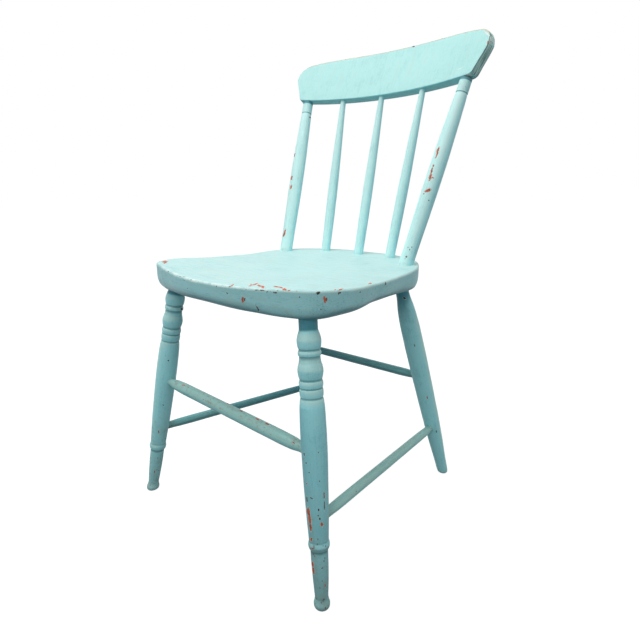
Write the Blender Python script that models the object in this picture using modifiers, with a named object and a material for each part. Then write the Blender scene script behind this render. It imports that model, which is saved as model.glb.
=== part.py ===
"""Old painted kitchen chair: a saddled plank seat on turned legs, a spindle back and a bent crest rail.
It stands on +Z up and faces -Y, with the bottom centre of its bounding box at the origin."""

import math

import bpy
import bmesh
from mathutils import Matrix, Vector

# Fits
CLEARANCE = 0.0003
CUTTER_REACH = 0.030
WELD = 0.00001

# Seat plank: outline as radius by angle about its centre, -90 at the front, one half only
SEAT_HEIGHT = 0.445
SEAT_THICKNESS = 0.0376
SEAT_CENTRE_Y = 0.025
SEAT_OUTLINE = (
    (-90, 0.2141), (-66, 0.2226), (-52, 0.2392), (-43, 0.2521), (-33, 0.2434), (-15, 0.2038),
    (8, 0.1868), (30, 0.1964), (50, 0.2020), (68, 0.1995), (80, 0.2003), (90, 0.2008),
)
SEAT_RIM_RISE = (
    (-90, -0.0024), (-66, -0.0014), (-43, 0.0027), (-33, 0.0014), (-15, -0.0031),
    (8, -0.0042), (30, -0.0013), (50, 0.0005), (70, 0.0006), (90, -0.0010),
)
SEAT_UNDERCUT = (
    (-90, 0.024), (-66, 0.013), (-52, 0.008), (-43, 0.012), (-30, 0.032), (-15, 0.036), (8, 0.019),
    (30, 0.007), (50, 0.011), (90, 0.015),
)
SEAT_DISH = 0.009
SEAT_EDGE_ROLL = 0.004
SEAT_UPRIGHT = 0.0196
SEAT_SEGMENTS = 80
DISH_RINGS = 7
ROLL_STEPS = 3
UNDERCUT_STEPS = 5
UNDERSIDE_RINGS = 2

# Legs: where each axis meets the underside of the seat and the floor. Hand fitting left the tops and feet
# out of line: a drift moves both sides one way in x, and a skew moves the two sides opposite ways in y
FRONT_LEG_TOP = (0.1603, -0.1313)
FRONT_LEG_FOOT = (0.2164, -0.1731)
FRONT_TOP_SKEW = -0.0047
FRONT_DRIFT = (0.0, -0.0032)
BACK_LEG_TOP = (0.1176, 0.1505)
BACK_LEG_FOOT = (0.1764, 0.2465)
BACK_DRIFT = (0.0013, 0.0028)
FOOT_SKEW = 0.0060
LEG_TENON = 0.024
LEG_SEGMENTS = 24

# Front leg turning: distance below the seat and radius, one run for each turned feature
FRONT_LEG_LENGTH = 0.4122
NECK_RADIUS = 0.0128
FRONT_LEG_RUNS = (
    ((0.0, NECK_RADIUS), (0.0155, NECK_RADIUS), (0.0196, 0.0140), (0.0245, 0.0155), (0.0305, 0.0166),
     (0.0375, 0.0161), (0.0430, 0.0144)),
    ((0.0430, 0.0144), (0.0448, 0.0155), (0.0474, 0.0160), (0.0500, 0.0156), (0.0517, 0.0143)),
    ((0.0517, 0.0143), (0.0588, 0.0151), (0.0650, 0.0168), (0.0703, 0.0176), (0.0769, 0.0169),
     (0.0835, 0.0151)),
    ((0.0835, 0.0151), (0.0851, 0.0162), (0.0885, 0.0166), (0.0925, 0.0161), (0.0945, 0.0151)),
    ((0.0945, 0.0151), (0.0963, 0.0162), (0.0999, 0.0164), (0.1046, 0.0161), (0.1073, 0.0152)),
    ((0.1073, 0.0152), (0.1110, 0.0164), (0.1300, 0.0177), (0.1650, 0.0182), (0.2150, 0.0175),
     (0.2650, 0.0161), (0.3105, 0.0140)),
    ((0.3105, 0.0140), (0.3135, 0.0148), (0.3165, 0.0153), (0.3205, 0.0147), (0.3240, 0.0126)),
    ((0.3240, 0.0126), (0.3420, 0.0124), (0.3600, 0.0118), (0.3960, 0.0097)),
    ((0.3960, 0.0097), (0.4010, 0.0107), (0.4055, 0.0118), (0.4090, 0.0114), (0.4112, 0.0100),
     (0.4122, 0.0080)),
)
LEFT_PATTERN_RISE = 0.0065

# Back leg: one plain swelling taper
BACK_LEG_LENGTH = 0.4227
BACK_LEG_RUN = (
    (0.0, 0.0116), (0.0246, 0.0122), (0.0546, 0.0158), (0.0926, 0.0179), (0.1316, 0.0181),
    (0.2125, 0.0173), (0.2706, 0.0163), (0.3296, 0.0146), (0.3913, 0.0115), (0.4165, 0.0104),
    (0.4205, 0.0096), (0.4227, 0.0080),
)

# Stretchers: radius at the middle and at the ends, then share of the way down the right and the left legs
FRONT_STRETCHER_RADIUS = 0.0102
FRONT_STRETCHER_END = 0.0074
REAR_STRETCHER_RADIUS = 0.0082
SIDE_STRETCHER_RADIUS = 0.0080
THIN_STRETCHER_END = 0.0071
FRONT_STRETCHER_DOWN = (0.4523, 0.4360)
REAR_STRETCHER_DOWN = (0.4606, 0.4724)
SIDE_STRETCHER_DOWN_FRONT = (0.6852, 0.6753)
SIDE_STRETCHER_DOWN_BACK = (0.7312, 0.7312)
# Share of the length in from either end, and share of the swell from the end's radius to the middle's
STRETCHER_RUN = ((0.060, 0.0), (0.11, 0.72), (0.19, 1.0))
STRETCHER_GAP_TO_AXIS = 0.0025
STRETCHER_SEGMENTS = 16

# Crest rail: a bent board that leans back, drawn in its own plane with x along it and rise up its face.
# Its drift is how far hand fitting left it to one side
CREST_LEAN = math.radians(22.0)
CREST_BASE = (0.2505, 0.7364)
CREST_BOW = 0.0319
CREST_DRIFT = 0.0016
CREST_BOTTOM_THICKNESS = 0.018
CREST_TOP_THICKNESS = 0.013
CREST_FACE_SLOPE = 0.0596
CREST_TOP_LINE = ((0.0, 0.0946), (0.063, 0.0936), (0.110, 0.0910), (0.152, 0.0864), (0.180, 0.0806),
                  (0.1912, 0.0770), (0.2005, 0.0704), (0.2075, 0.0616), (0.2100, 0.0526), (0.2104, 0.0475))
CREST_BOTTOM_LINE = ((0.0, 0.0), (0.094, -0.0011), (0.150, -0.0021), (0.1868, -0.0025), (0.1922, -0.0006),
                     (0.1992, 0.0147), (0.2062, 0.0305), (0.2094, 0.0390), (0.2104, 0.0428))
CREST_STATIONS = (0.0, 0.03, 0.06, 0.09, 0.12, 0.145, 0.165, 0.178, 0.187, 0.190, 0.1935, 0.1972, 0.2010,
                  0.2039, 0.2063, 0.2082, 0.2095, 0.2101, 0.2104)
CREST_BEND = CREST_BOW / CREST_STATIONS[-1] ** 2
CREST_TOP_ROUND = 0.0040
CREST_BOTTOM_ROUND = 0.0022
ROUND_STEPS = 3
MOST_ROUND = 0.45

# Back posts: share of the way up from the seat and radius, then the collar under the crest rail
POST_BASE = (0.1448, 0.1275)
POST_TOP_X = 0.1772
POST_DRIFT = (-0.0017, 0.0026)
POST_RUN = ((0.0, 0.0125), (0.10, 0.0126), (0.20, 0.0130), (0.31, 0.0134), (0.42, 0.0136), (0.52, 0.0135),
            (0.62, 0.0131), (0.73, 0.0122), (0.83, 0.0112), (0.90, 0.0104), (0.920, 0.0098))
POST_COLLAR_RADIUS = 0.0103
POST_COLLAR_LIP = 0.0006
POST_TENON_RADIUS = 0.0048
POST_TENON = 0.018
POST_SEGMENTS = 20

# Spindles
SPINDLE_BASES = ((-0.0800, 0.1774), (-0.0025, 0.1865), (0.0772, 0.1774))
SPINDLE_TOP_SPREAD = 1.1535
SPINDLE_RUN = ((0.0, 0.0090), (0.12, 0.0094), (0.28, 0.0097), (0.40, 0.0096), (0.52, 0.0091),
               (0.70, 0.0079), (0.88, 0.0064), (1.0, 0.0054))
SPINDLE_TENON_RADIUS = 0.0040
SPINDLE_TENON = 0.013
SPINDLE_SHOULDER_DROP = 0.0019
SPINDLE_TENON_DROP = 0.0009
SPINDLE_SEGMENTS = 14
SEAT_SOCKET = 0.024

SMOOTH_ANGLE = math.radians(35.0)
PAINT = (0.42, 0.72, 0.70, 1.0)
PAINT_ROUGHNESS = 0.55


def clear_scene():
    for obj in list(bpy.data.objects):
        bpy.data.objects.remove(obj, do_unlink=True)


def new_collection(name, shown):
    made = bpy.data.collections.new(name)
    made.hide_render = not shown
    bpy.context.scene.collection.children.link(made)
    return made


def paint(name):
    made = bpy.data.materials.new(name)
    made.use_nodes = True
    shader = made.node_tree.nodes["Principled BSDF"]
    shader.inputs["Base Color"].default_value = PAINT
    shader.inputs["Roughness"].default_value = PAINT_ROUGHNESS
    shader.inputs["Metallic"].default_value = 0.0
    return made


def curve_through(knots, at):
    """Value at a place along a smooth curve through (place, value) knots that never overshoots."""
    places = [knot[0] for knot in knots]
    values = [knot[1] for knot in knots]
    steps = [b - a for a, b in zip(places, places[1:])]
    slopes = [(b - a) / step for a, b, step in zip(values, values[1:], steps)]
    tangents = [slopes[0]]
    for before, after, left, right in zip(slopes, slopes[1:], steps, steps[1:]):
        if before * after <= 0:
            tangents.append(0.0)
        else:
            first = 2 * right + left
            second = right + 2 * left
            tangents.append((first + second) / (first / before + second / after))
    tangents.append(slopes[-1])
    at = min(max(at, places[0]), places[-1])
    index = 0
    while index < len(steps) - 1 and at > places[index + 1]:
        index += 1
    share = (at - places[index]) / steps[index]
    rest = 1 - share
    start = values[index] * (1 + 2 * share) * rest * rest
    end = values[index + 1] * (3 - 2 * share) * share * share
    bend = steps[index] * share * rest * (tangents[index] * rest - tangents[index + 1] * share)
    return start + end + bend


def around(knots, angle):
    """As curve_through for a half outline mirrored about the seat's middle line, level where it crosses."""
    half = (angle + 90.0) % 360.0
    if half > 180.0:
        half = 360.0 - half
    before = (-180.0 - knots[1][0], knots[1][1])
    after = (180.0 - knots[-2][0], knots[-2][1])
    return curve_through((before, *knots, after), half - 90.0)


def skin(name, rings, collection):
    """Closed mesh lofted through rings of equal count, where a ring of one point closes an end."""
    mesh = bpy.data.meshes.new(name)
    shell = bmesh.new()
    loops = [[shell.verts.new(point) for point in ring] for ring in rings]
    for upper, lower in zip(loops, loops[1:]):
        count = max(len(upper), len(lower))
        for index in range(count):
            following = (index + 1) % count
            corners = [upper[index % len(upper)], lower[index % len(lower)]]
            if len(lower) > 1:
                corners.append(lower[following])
            if len(upper) > 1:
                corners.append(upper[following])
            shell.faces.new(corners)
    bmesh.ops.recalc_face_normals(shell, faces=shell.faces)
    shell.to_mesh(mesh)
    shell.free()
    made = bpy.data.objects.new(name, mesh)
    collection.objects.link(made)
    return made


def finish(obj):
    """Smooth shading and a coat of paint; a turned piece gets its smooth shading from its Screw."""
    mesh = obj.data
    if mesh.polygons:
        mesh.shade_smooth()
        mesh.set_sharp_from_angle(angle=SMOOTH_ANGLE)
    mesh.materials.append(paint(obj.name))


def along_axis(start, end):
    """Matrix that puts local +Z on the line from start to end, with local zero at start."""
    direction = (end - start).normalized()
    turn = direction.to_track_quat("Z", "Y").to_matrix().to_4x4()
    return Matrix.Translation(start) @ turn


def turned(name, profile, start, end, segments, collection):
    """Turned piece: (station, radius) pairs from the start, closed on the axis at both ends, spun round."""
    mesh = bpy.data.meshes.new(name)
    points = [(0.0, 0.0, profile[-1][0])]
    points += [(radius, 0.0, station) for station, radius in reversed(profile)]
    points.append((0.0, 0.0, profile[0][0]))
    edges = [(index, index + 1) for index in range(len(points) - 1)]
    mesh.from_pydata(points, edges, [])
    made = bpy.data.objects.new(name, mesh)
    collection.objects.link(made)
    made.matrix_world = along_axis(start, end)
    screw = made.modifiers.new("Turning", "SCREW")
    screw.axis = "Z"
    screw.steps = segments
    screw.render_steps = segments
    screw.use_merge_vertices = True
    screw.merge_threshold = WELD
    screw.use_smooth_shade = True
    return made


def cut(obj, cutter, operation="DIFFERENCE"):
    boolean = obj.modifiers.new(cutter.name, "BOOLEAN")
    boolean.operation = operation
    boolean.solver = "EXACT"
    boolean.object = cutter


def helper(obj):
    obj.hide_render = True
    obj.display_type = "WIRE"
    return obj


def rod(name, start, end, radius, segments, cutters):
    """Plain cylinder from start to end, kept as a cutter or as a piece to join on."""
    length = (end - start).length
    return helper(turned(name, [(0.0, radius), (length, radius)], start, end, segments, cutters))


def box(name, middle, axes, half, cutters):
    """Block about middle whose columns of axes are its own directions."""
    mesh = bpy.data.meshes.new(name)
    shell = bmesh.new()
    bmesh.ops.create_cube(shell, size=2.0)
    bmesh.ops.scale(shell, vec=half, verts=shell.verts)
    shell.to_mesh(mesh)
    shell.free()
    made = bpy.data.objects.new(name, mesh)
    cutters.objects.link(made)
    made.matrix_world = Matrix.Translation(middle) @ axes.to_4x4()
    return helper(made)


def seat_ring(share, inset, undercut_share, height):
    """Ring of the seat at a share of its radius, in from its outline by inset and a share of the undercut.
    height gives its height from the height of the rim."""
    ring = []
    for index in range(SEAT_SEGMENTS):
        angle = 360.0 * index / SEAT_SEGMENTS - 90.0
        edge = around(SEAT_OUTLINE, angle) - inset - around(SEAT_UNDERCUT, angle) * undercut_share
        rim = SEAT_HEIGHT + around(SEAT_RIM_RISE, angle)
        across = edge * share * math.cos(math.radians(angle))
        along = edge * share * math.sin(math.radians(angle))
        ring.append(Vector((across, SEAT_CENTRE_Y + along, height(rim))))
    return ring


def dish_height(share, rim):
    """Height of the seat's top at a share of its radius: a dish with a level floor and a soft rim."""
    floor = SEAT_HEIGHT - SEAT_DISH
    return floor + (rim - floor) * share * share * (3 - 2 * share)


def seat_rings():
    """Rings from the middle of the dished top, over the rolled rim, down the edge and in below."""
    underside = SEAT_HEIGHT - SEAT_THICKNESS
    rings = [[Vector((0.0, SEAT_CENTRE_Y, SEAT_HEIGHT - SEAT_DISH))]]
    for index in range(1, DISH_RINGS + 1):
        share = index / DISH_RINGS
        level = lambda rim, share=share: dish_height(share, rim)
        rings.append(seat_ring(share, SEAT_EDGE_ROLL, 0.0, level))
    for index in range(1, ROLL_STEPS + 1):
        turn = math.radians(90.0 * index / ROLL_STEPS)
        inset = SEAT_EDGE_ROLL * (1 - math.sin(turn))
        drop = SEAT_EDGE_ROLL * (1 - math.cos(turn))
        rings.append(seat_ring(1.0, inset, 0.0, lambda rim, drop=drop: rim - drop))
    curve_height = SEAT_THICKNESS - SEAT_UPRIGHT
    for index in range(UNDERCUT_STEPS + 1):
        turn = math.radians(90.0 * index / UNDERCUT_STEPS)
        level = underside + curve_height * (1 - math.sin(turn))
        rings.append(seat_ring(1.0, 0.0, 1 - math.cos(turn), lambda rim, level=level: level))
    for index in range(1, UNDERSIDE_RINGS + 1):
        share = 1 - index / (UNDERSIDE_RINGS + 1)
        rings.append(seat_ring(share, 0.0, 1.0, lambda rim: underside))
    rings.append([Vector((0.0, SEAT_CENTRE_Y, underside))])
    return rings


def leg_ends(front, side):
    """Axis of a leg, from the seat's underside to its middle on the floor. side is the sign of x."""
    top = FRONT_LEG_TOP if front else BACK_LEG_TOP
    foot = FRONT_LEG_FOOT if front else BACK_LEG_FOOT
    top_drift, foot_drift = FRONT_DRIFT if front else BACK_DRIFT
    skew = FRONT_TOP_SKEW if front else 0.0
    upper = Vector((side * top[0] + top_drift, top[1] + side * skew, SEAT_HEIGHT - SEAT_THICKNESS))
    lower = Vector((side * foot[0] + foot_drift, foot[1] + side * FOOT_SKEW, 0.0))
    return upper, lower


def leg_profile(runs, length, real_length, rise):
    """Stations from the floor up, stretched to the leg's own length, with its tenon and spare below."""
    scale = real_length / length
    points = []
    for run in runs:
        for place, radius in run:
            lift = rise * (1 - place / length) if place > 0 else 0.0
            height = (length - place + lift) * scale
            if not points or points[-1][0] - height > WELD:
                points.append((height, radius))
    tenon = [(real_length + LEG_TENON, points[0][1]), (real_length, points[0][1])]
    spare = [(-CUTTER_REACH / 2, points[-1][1])]
    return list(reversed(tenon + points[1:] + spare))


def leg(name, front, side, holes, collection, cutters):
    upper, lower = leg_ends(front, side)
    length = (upper - lower).length
    runs = FRONT_LEG_RUNS if front else (BACK_LEG_RUN,)
    pattern = FRONT_LEG_LENGTH if front else BACK_LEG_LENGTH
    rise = LEFT_PATTERN_RISE if front and side < 0 else 0.0
    profile = leg_profile(runs, pattern, length, rise)
    made = turned(name, profile, lower, upper, LEG_SEGMENTS, collection)
    for number, (near, far, radius) in enumerate(holes):
        direction = (far - near).normalized()
        mouth = near + direction * (STRETCHER_GAP_TO_AXIS - CLEARANCE)
        reach = mouth + direction * CUTTER_REACH
        socket = f"{name}_socket_{number}"
        cut(made, rod(socket, mouth, reach, radius + CLEARANCE, STRETCHER_SEGMENTS, cutters))
    below = lower - Vector((0.0, 0.0, CUTTER_REACH))
    half = Vector((CUTTER_REACH, CUTTER_REACH, CUTTER_REACH))
    cut(made, box(f"{name}_floor", below, Matrix.Identity(3), half, cutters))
    finish(made)
    return made


def point_down(front, side, down):
    upper, lower = leg_ends(front, side)
    return upper.lerp(lower, down)


def stretcher(name, start, end, radius, end_radius, collection):
    """Turned rail whose ends taper in, run into the legs and stop short of their axes."""
    length = (end - start).length
    rise = radius - end_radius
    half = [(STRETCHER_GAP_TO_AXIS, end_radius)]
    half += [(share * length, end_radius + swell * rise) for share, swell in STRETCHER_RUN]
    profile = half + [(length - place, radius) for place, radius in reversed(half)]
    made = turned(name, profile, start, end, STRETCHER_SEGMENTS, collection)
    finish(made)
    return made


def crest_point(x, depth, rise):
    """Point of the crest rail: x along its middle line, depth behind that line, rise up its face."""
    slope = 2 * CREST_BEND * x
    stretch = math.hypot(1.0, slope)
    across = CREST_DRIFT + x + depth * slope / stretch
    back = depth / stretch - CREST_BEND * x * x
    base_y, base_z = CREST_BASE
    y = base_y + back * math.cos(CREST_LEAN) + rise * math.sin(CREST_LEAN)
    z = base_z - back * math.sin(CREST_LEAN) + rise * math.cos(CREST_LEAN)
    return Vector((across, y, z))


def crest_underside(x):
    """Middle of the crest rail's underside at a place across the chair."""
    along = x - CREST_DRIFT
    return crest_point(along, 0.0, curve_through(CREST_BOTTOM_LINE, abs(along)))


def crest_section(x):
    """Rounded wedge section of the crest rail at x, thicker at the bottom, as a ring of points."""
    low = curve_through(CREST_BOTTOM_LINE, abs(x))
    high = curve_through(CREST_TOP_LINE, abs(x))
    whole = CREST_TOP_LINE[0][1]

    def face(rise):
        return rise * CREST_FACE_SLOPE - CREST_BOTTOM_THICKNESS / 2

    def thickness(rise):
        return CREST_BOTTOM_THICKNESS + (CREST_TOP_THICKNESS - CREST_BOTTOM_THICKNESS) * rise / whole

    limit = (high - low) * MOST_ROUND
    top_round = min(CREST_TOP_ROUND, limit)
    bottom_round = min(CREST_BOTTOM_ROUND, limit)
    ring = []
    corners = (
        (low, bottom_round, 0, 1), (high, top_round, 0, -1),
        (high, top_round, 1, -1), (low, bottom_round, 1, 1),
    )
    for level, radius, back, inward in corners:
        rise = level + inward * radius
        wall = face(rise) + (thickness(rise) if back else 0.0)
        toward = -1 if back else 1
        turns = [math.radians(90.0 * step / ROUND_STEPS) for step in range(ROUND_STEPS + 1)]
        if (back == 0) == (inward < 0):
            turns = list(reversed(turns))
        for turn in turns:
            depth = wall + toward * radius * (1 - math.sin(turn))
            height = rise - inward * radius * math.cos(turn)
            ring.append(crest_point(x, depth, height))
    return ring


def crest_rail(holes, collection, cutters):
    stations = [-x for x in reversed(CREST_STATIONS[1:])] + list(CREST_STATIONS)
    rings = [crest_section(x) for x in stations]
    ends = []
    for ring in (rings[0], rings[-1]):
        ends.append([sum(ring, Vector()) / len(ring)])
    made = skin("crest_rail", [ends[0]] + rings + [ends[1]], collection)
    for number, (start, end, radius) in enumerate(holes):
        cut(made, rod(f"crest_socket_{number}", start, end, radius + CLEARANCE, SPINDLE_SEGMENTS, cutters))
    finish(made)
    return made


def seat_top_height(x, y):
    """Height of the dished top at a place on the seat."""
    reach = math.hypot(x, y - SEAT_CENTRE_Y)
    angle = math.degrees(math.atan2(y - SEAT_CENTRE_Y, x))
    share = reach / (around(SEAT_OUTLINE, angle) - SEAT_EDGE_ROLL)
    return dish_height(share, SEAT_HEIGHT + around(SEAT_RIM_RISE, angle))


def post_ends(side):
    base_drift, top_drift = POST_DRIFT
    base_x, base_y = side * POST_BASE[0] + base_drift, POST_BASE[1]
    base = Vector((base_x, base_y, seat_top_height(base_x, base_y)))
    return base, crest_underside(side * POST_TOP_X + top_drift)


def spindle_ends(base_x, base_y):
    base = Vector((base_x, base_y, seat_top_height(base_x, base_y)))
    return base, crest_underside(base_x * SPINDLE_TOP_SPREAD)


def back_post(name, side, collection, cutters):
    base, top = post_ends(side)
    length = (top - base).length
    neck_place, neck_radius = POST_RUN[-1]
    shoulder = neck_place * length + POST_COLLAR_LIP
    profile = [(-SEAT_SOCKET, POST_RUN[0][1])]
    profile += [(place * length, radius) for place, radius in POST_RUN]
    profile += [(shoulder, neck_radius + POST_COLLAR_LIP), (shoulder + POST_COLLAR_LIP, POST_COLLAR_RADIUS)]
    profile.append((length + CUTTER_REACH / 2, POST_COLLAR_RADIUS))
    made = turned(name, profile, base, top, POST_SEGMENTS, collection)
    along = (top - crest_underside(top.x - side * POST_COLLAR_RADIUS)).normalized() * side
    leaning = Vector((0.0, math.sin(CREST_LEAN), math.cos(CREST_LEAN)))
    upward = (leaning - along * leaning.dot(along)).normalized()
    axes = Matrix((along, upward.cross(along), upward)).transposed()
    block = Vector((CUTTER_REACH, CUTTER_REACH, CUTTER_REACH))
    middle = top + upward * (CUTTER_REACH - CLEARANCE)
    cut(made, box(f"{name}_crest_plane", middle, axes, block, cutters))
    direction = (top - base).normalized()
    tenon = rod(f"{name}_tenon", top - direction * CUTTER_REACH, top + direction * POST_TENON,
                POST_TENON_RADIUS, SPINDLE_SEGMENTS, cutters)
    cut(made, tenon, "UNION")
    finish(made)
    return made


def spindle(name, base_x, base_y, collection):
    base, top = spindle_ends(base_x, base_y)
    length = (top - base).length
    profile = [(-SEAT_SOCKET, SPINDLE_RUN[0][1])]
    shoulder = length - SPINDLE_SHOULDER_DROP
    profile += [(place * shoulder, radius) for place, radius in SPINDLE_RUN]
    profile.append((length - SPINDLE_TENON_DROP, SPINDLE_TENON_RADIUS))
    profile.append((length + SPINDLE_TENON, SPINDLE_TENON_RADIUS))
    made = turned(name, profile, base, top, SPINDLE_SEGMENTS, collection)
    finish(made)
    return made


def sockets_in_seat(made, cutters):
    for front in (True, False):
        for side in (1, -1):
            upper, lower = leg_ends(front, side)
            direction = (upper - lower).normalized()
            radius = NECK_RADIUS if front else BACK_LEG_RUN[0][1]
            start = upper - direction * CUTTER_REACH
            end = upper + direction * (LEG_TENON + CLEARANCE)
            name = f"seat_leg_socket_{'front' if front else 'back'}_{side}"
            cut(made, rod(name, start, end, radius + CLEARANCE, LEG_SEGMENTS, cutters))
    uprights = [(*post_ends(side), POST_RUN[0][1], POST_SEGMENTS) for side in (1, -1)]
    uprights += [(*spindle_ends(*place), SPINDLE_RUN[0][1], SPINDLE_SEGMENTS) for place in SPINDLE_BASES]
    for number, (base, top, radius, segments) in enumerate(uprights):
        direction = (top - base).normalized()
        start = base - direction * (SEAT_SOCKET + CLEARANCE)
        end = base + direction * CUTTER_REACH
        cut(made, rod(f"seat_back_socket_{number}", start, end, radius + CLEARANCE, segments, cutters))


def stretchers(collection):
    """Makes the four stretchers; returns the holes that each leg needs, by (is a front leg, sign of x)."""
    front, rear = FRONT_STRETCHER_DOWN, REAR_STRETCHER_DOWN
    ahead, behind = SIDE_STRETCHER_DOWN_FRONT, SIDE_STRETCHER_DOWN_BACK
    rails = (
        ("front_stretcher", (True, 1), front[0], (True, -1), front[1], FRONT_STRETCHER_RADIUS,
         FRONT_STRETCHER_END),
        ("rear_stretcher", (False, 1), rear[0], (False, -1), rear[1], REAR_STRETCHER_RADIUS,
         THIN_STRETCHER_END),
        ("side_stretcher_right", (True, 1), ahead[0], (False, 1), behind[0], SIDE_STRETCHER_RADIUS,
         THIN_STRETCHER_END),
        ("side_stretcher_left", (True, -1), ahead[1], (False, -1), behind[1], SIDE_STRETCHER_RADIUS,
         THIN_STRETCHER_END),
    )
    holes = {}
    for name, first_leg, first_down, second_leg, second_down, radius, end_radius in rails:
        start = point_down(*first_leg, first_down)
        end = point_down(*second_leg, second_down)
        stretcher(name, start, end, radius, end_radius, collection)
        holes.setdefault(first_leg, []).append((start, end, end_radius))
        holes.setdefault(second_leg, []).append((end, start, end_radius))
    return holes


def crest_socket(base, top, tenon, radius):
    """Cutter for a tenon that goes up into the crest rail, as its two ends and the tenon's radius."""
    direction = (top - base).normalized()
    return top - direction * CUTTER_REACH, top + direction * (tenon + CLEARANCE), radius


def build():
    clear_scene()
    chair = new_collection("painted_kitchen_chair", True)
    cutters = new_collection("cutters", False)
    seat = skin("seat", seat_rings(), chair)
    sockets_in_seat(seat, cutters)
    finish(seat)
    holes = stretchers(chair)
    for front, place in ((True, "front"), (False, "back")):
        for side, word in ((1, "right"), (-1, "left")):
            leg(f"{place}_leg_{word}", front, side, holes[(front, side)], chair, cutters)
    crest_holes = []
    for side, word in ((1, "right"), (-1, "left")):
        back_post(f"back_post_{word}", side, chair, cutters)
        crest_holes.append(crest_socket(*post_ends(side), POST_TENON, POST_TENON_RADIUS))
    for place, word in zip(SPINDLE_BASES, ("left", "middle", "right")):
        spindle(f"spindle_{word}", *place, chair)
        crest_holes.append(crest_socket(*spindle_ends(*place), SPINDLE_TENON, SPINDLE_TENON_RADIUS))
    crest_rail(crest_holes, chair, cutters)
    centre_on_origin(chair)


def centre_on_origin(chair):
    """Moves every object together, so that the bottom centre of the whole box is at the origin."""
    bpy.context.view_layer.update()
    graph = bpy.context.evaluated_depsgraph_get()
    corners = []
    for obj in chair.objects:
        evaluated = obj.evaluated_get(graph)
        mesh = evaluated.to_mesh()
        corners += [evaluated.matrix_world @ vertex.co for vertex in mesh.vertices]
        evaluated.to_mesh_clear()
    low = Vector([min(corner[axis] for corner in corners) for axis in range(3)])
    high = Vector([max(corner[axis] for corner in corners) for axis in range(3)])
    shift = Vector((-(low.x + high.x) / 2, -(low.y + high.y) / 2, -low.z))
    for obj in bpy.data.objects:
        obj.matrix_world = Matrix.Translation(shift) @ obj.matrix_world
    bpy.context.view_layer.update()


build()
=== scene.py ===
"""Old painted kitchen chair with chipped and peeling aqua paint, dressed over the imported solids.
Every surface is worked out with numpy, and every finish is a procedural node material."""

import math

import bpy
import numpy as np
from bpy.props import FloatProperty, FloatVectorProperty, PointerProperty
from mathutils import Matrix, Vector


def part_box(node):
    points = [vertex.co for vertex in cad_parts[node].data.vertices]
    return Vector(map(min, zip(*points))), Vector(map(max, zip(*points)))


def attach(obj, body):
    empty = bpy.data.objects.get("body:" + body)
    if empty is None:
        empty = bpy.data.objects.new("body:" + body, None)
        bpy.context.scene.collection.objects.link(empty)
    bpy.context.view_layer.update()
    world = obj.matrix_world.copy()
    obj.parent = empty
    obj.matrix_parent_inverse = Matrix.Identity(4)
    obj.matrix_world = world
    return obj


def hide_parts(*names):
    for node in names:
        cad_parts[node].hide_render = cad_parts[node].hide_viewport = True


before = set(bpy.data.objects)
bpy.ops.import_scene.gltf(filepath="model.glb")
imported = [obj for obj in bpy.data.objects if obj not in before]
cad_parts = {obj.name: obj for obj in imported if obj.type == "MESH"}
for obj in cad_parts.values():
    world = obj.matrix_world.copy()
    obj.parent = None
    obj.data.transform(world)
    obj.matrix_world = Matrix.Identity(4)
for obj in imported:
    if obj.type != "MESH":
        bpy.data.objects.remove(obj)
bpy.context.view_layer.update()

bl_info = {
    "name": "Painted kitchen chair",
    "version": (1, 0, 0),
    "blender": (4, 5, 0),
    "location": "3D View > Sidebar > Painted chair",
    "description": "Builds an old painted kitchen chair with chipped paint",
    "category": "Object",
}

SIDES = {"right": 1, "left": -1}

# Seat plank: outline as radius by angle about its centre, from the front at -90 to the back at 90
SEAT_HEIGHT = 0.445
SEAT_THICKNESS = 0.0376
SEAT_CENTRE_Y = 0.025
SEAT_OUTLINE = (
    (-90, 0.2141), (-66, 0.2226), (-52, 0.2392), (-43, 0.2521), (-33, 0.2434), (-15, 0.2038),
    (8, 0.1868), (30, 0.1964), (50, 0.2020), (68, 0.1995), (80, 0.2003), (90, 0.2008),
)
SEAT_RIM_RISE = (
    (-90, -0.0024), (-66, -0.0014), (-43, 0.0027), (-33, 0.0014), (-15, -0.0031),
    (8, -0.0042), (30, -0.0013), (50, 0.0005), (70, 0.0006), (90, -0.0010),
)
SEAT_UNDERCUT = (
    (-90, 0.024), (-66, 0.013), (-52, 0.008), (-43, 0.012), (-30, 0.032), (-15, 0.036), (8, 0.019),
    (30, 0.007), (50, 0.011), (90, 0.015),
)
SEAT_DISH = 0.009
SEAT_EDGE_ROLL = 0.0040
SEAT_UPRIGHT = 0.0196
SEAT_COLUMNS = 900
SEAT_TOP_RINGS = 54
SEAT_ROLL_RINGS = 6
SEAT_EDGE_RINGS = 14
SEAT_UNDERCUT_RINGS = 16
SEAT_UNDERSIDE_RINGS = 12
# Share by which the grid is closer at the front and at the rim, where the chips are
SEAT_CROWDING = 0.4
SEAT_RIM_CROWDING = 1.8
# How far in the rings of the top start, before their crowding, and where those of the underside end
SEAT_TOP_START = 0.998
SEAT_UNDERSIDE_END = 0.02
SEAT_RIPPLE = 0.12
SEAT_SEED = 11
# Band round the rim, rubbed paint with a painted highlight: how far above the rim's line, how wide, and how
# strong at the back and in front
SEAT_RIM_BAND_ABOVE = 0.002
SEAT_RIM_BAND_REACH = 0.009
SEAT_RIM_BAND_BACK = 0.15
SEAT_RIM_BAND_FRONT = 0.65
# Dirt on the lower edge: where it starts below the rim, how soon it is full and how strong it is
SEAT_DIRT_FROM = 0.020
SEAT_DIRT_BLEND = 0.02
SEAT_DIRT = 0.5

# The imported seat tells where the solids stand
SEAT_LOW, SEAT_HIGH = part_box("seat")
PLACE = np.array((
    (SEAT_LOW.x + SEAT_HIGH.x) / 2,
    SEAT_HIGH.y - (SEAT_CENTRE_Y + SEAT_OUTLINE[-1][1]),
    0.0,
))

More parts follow.
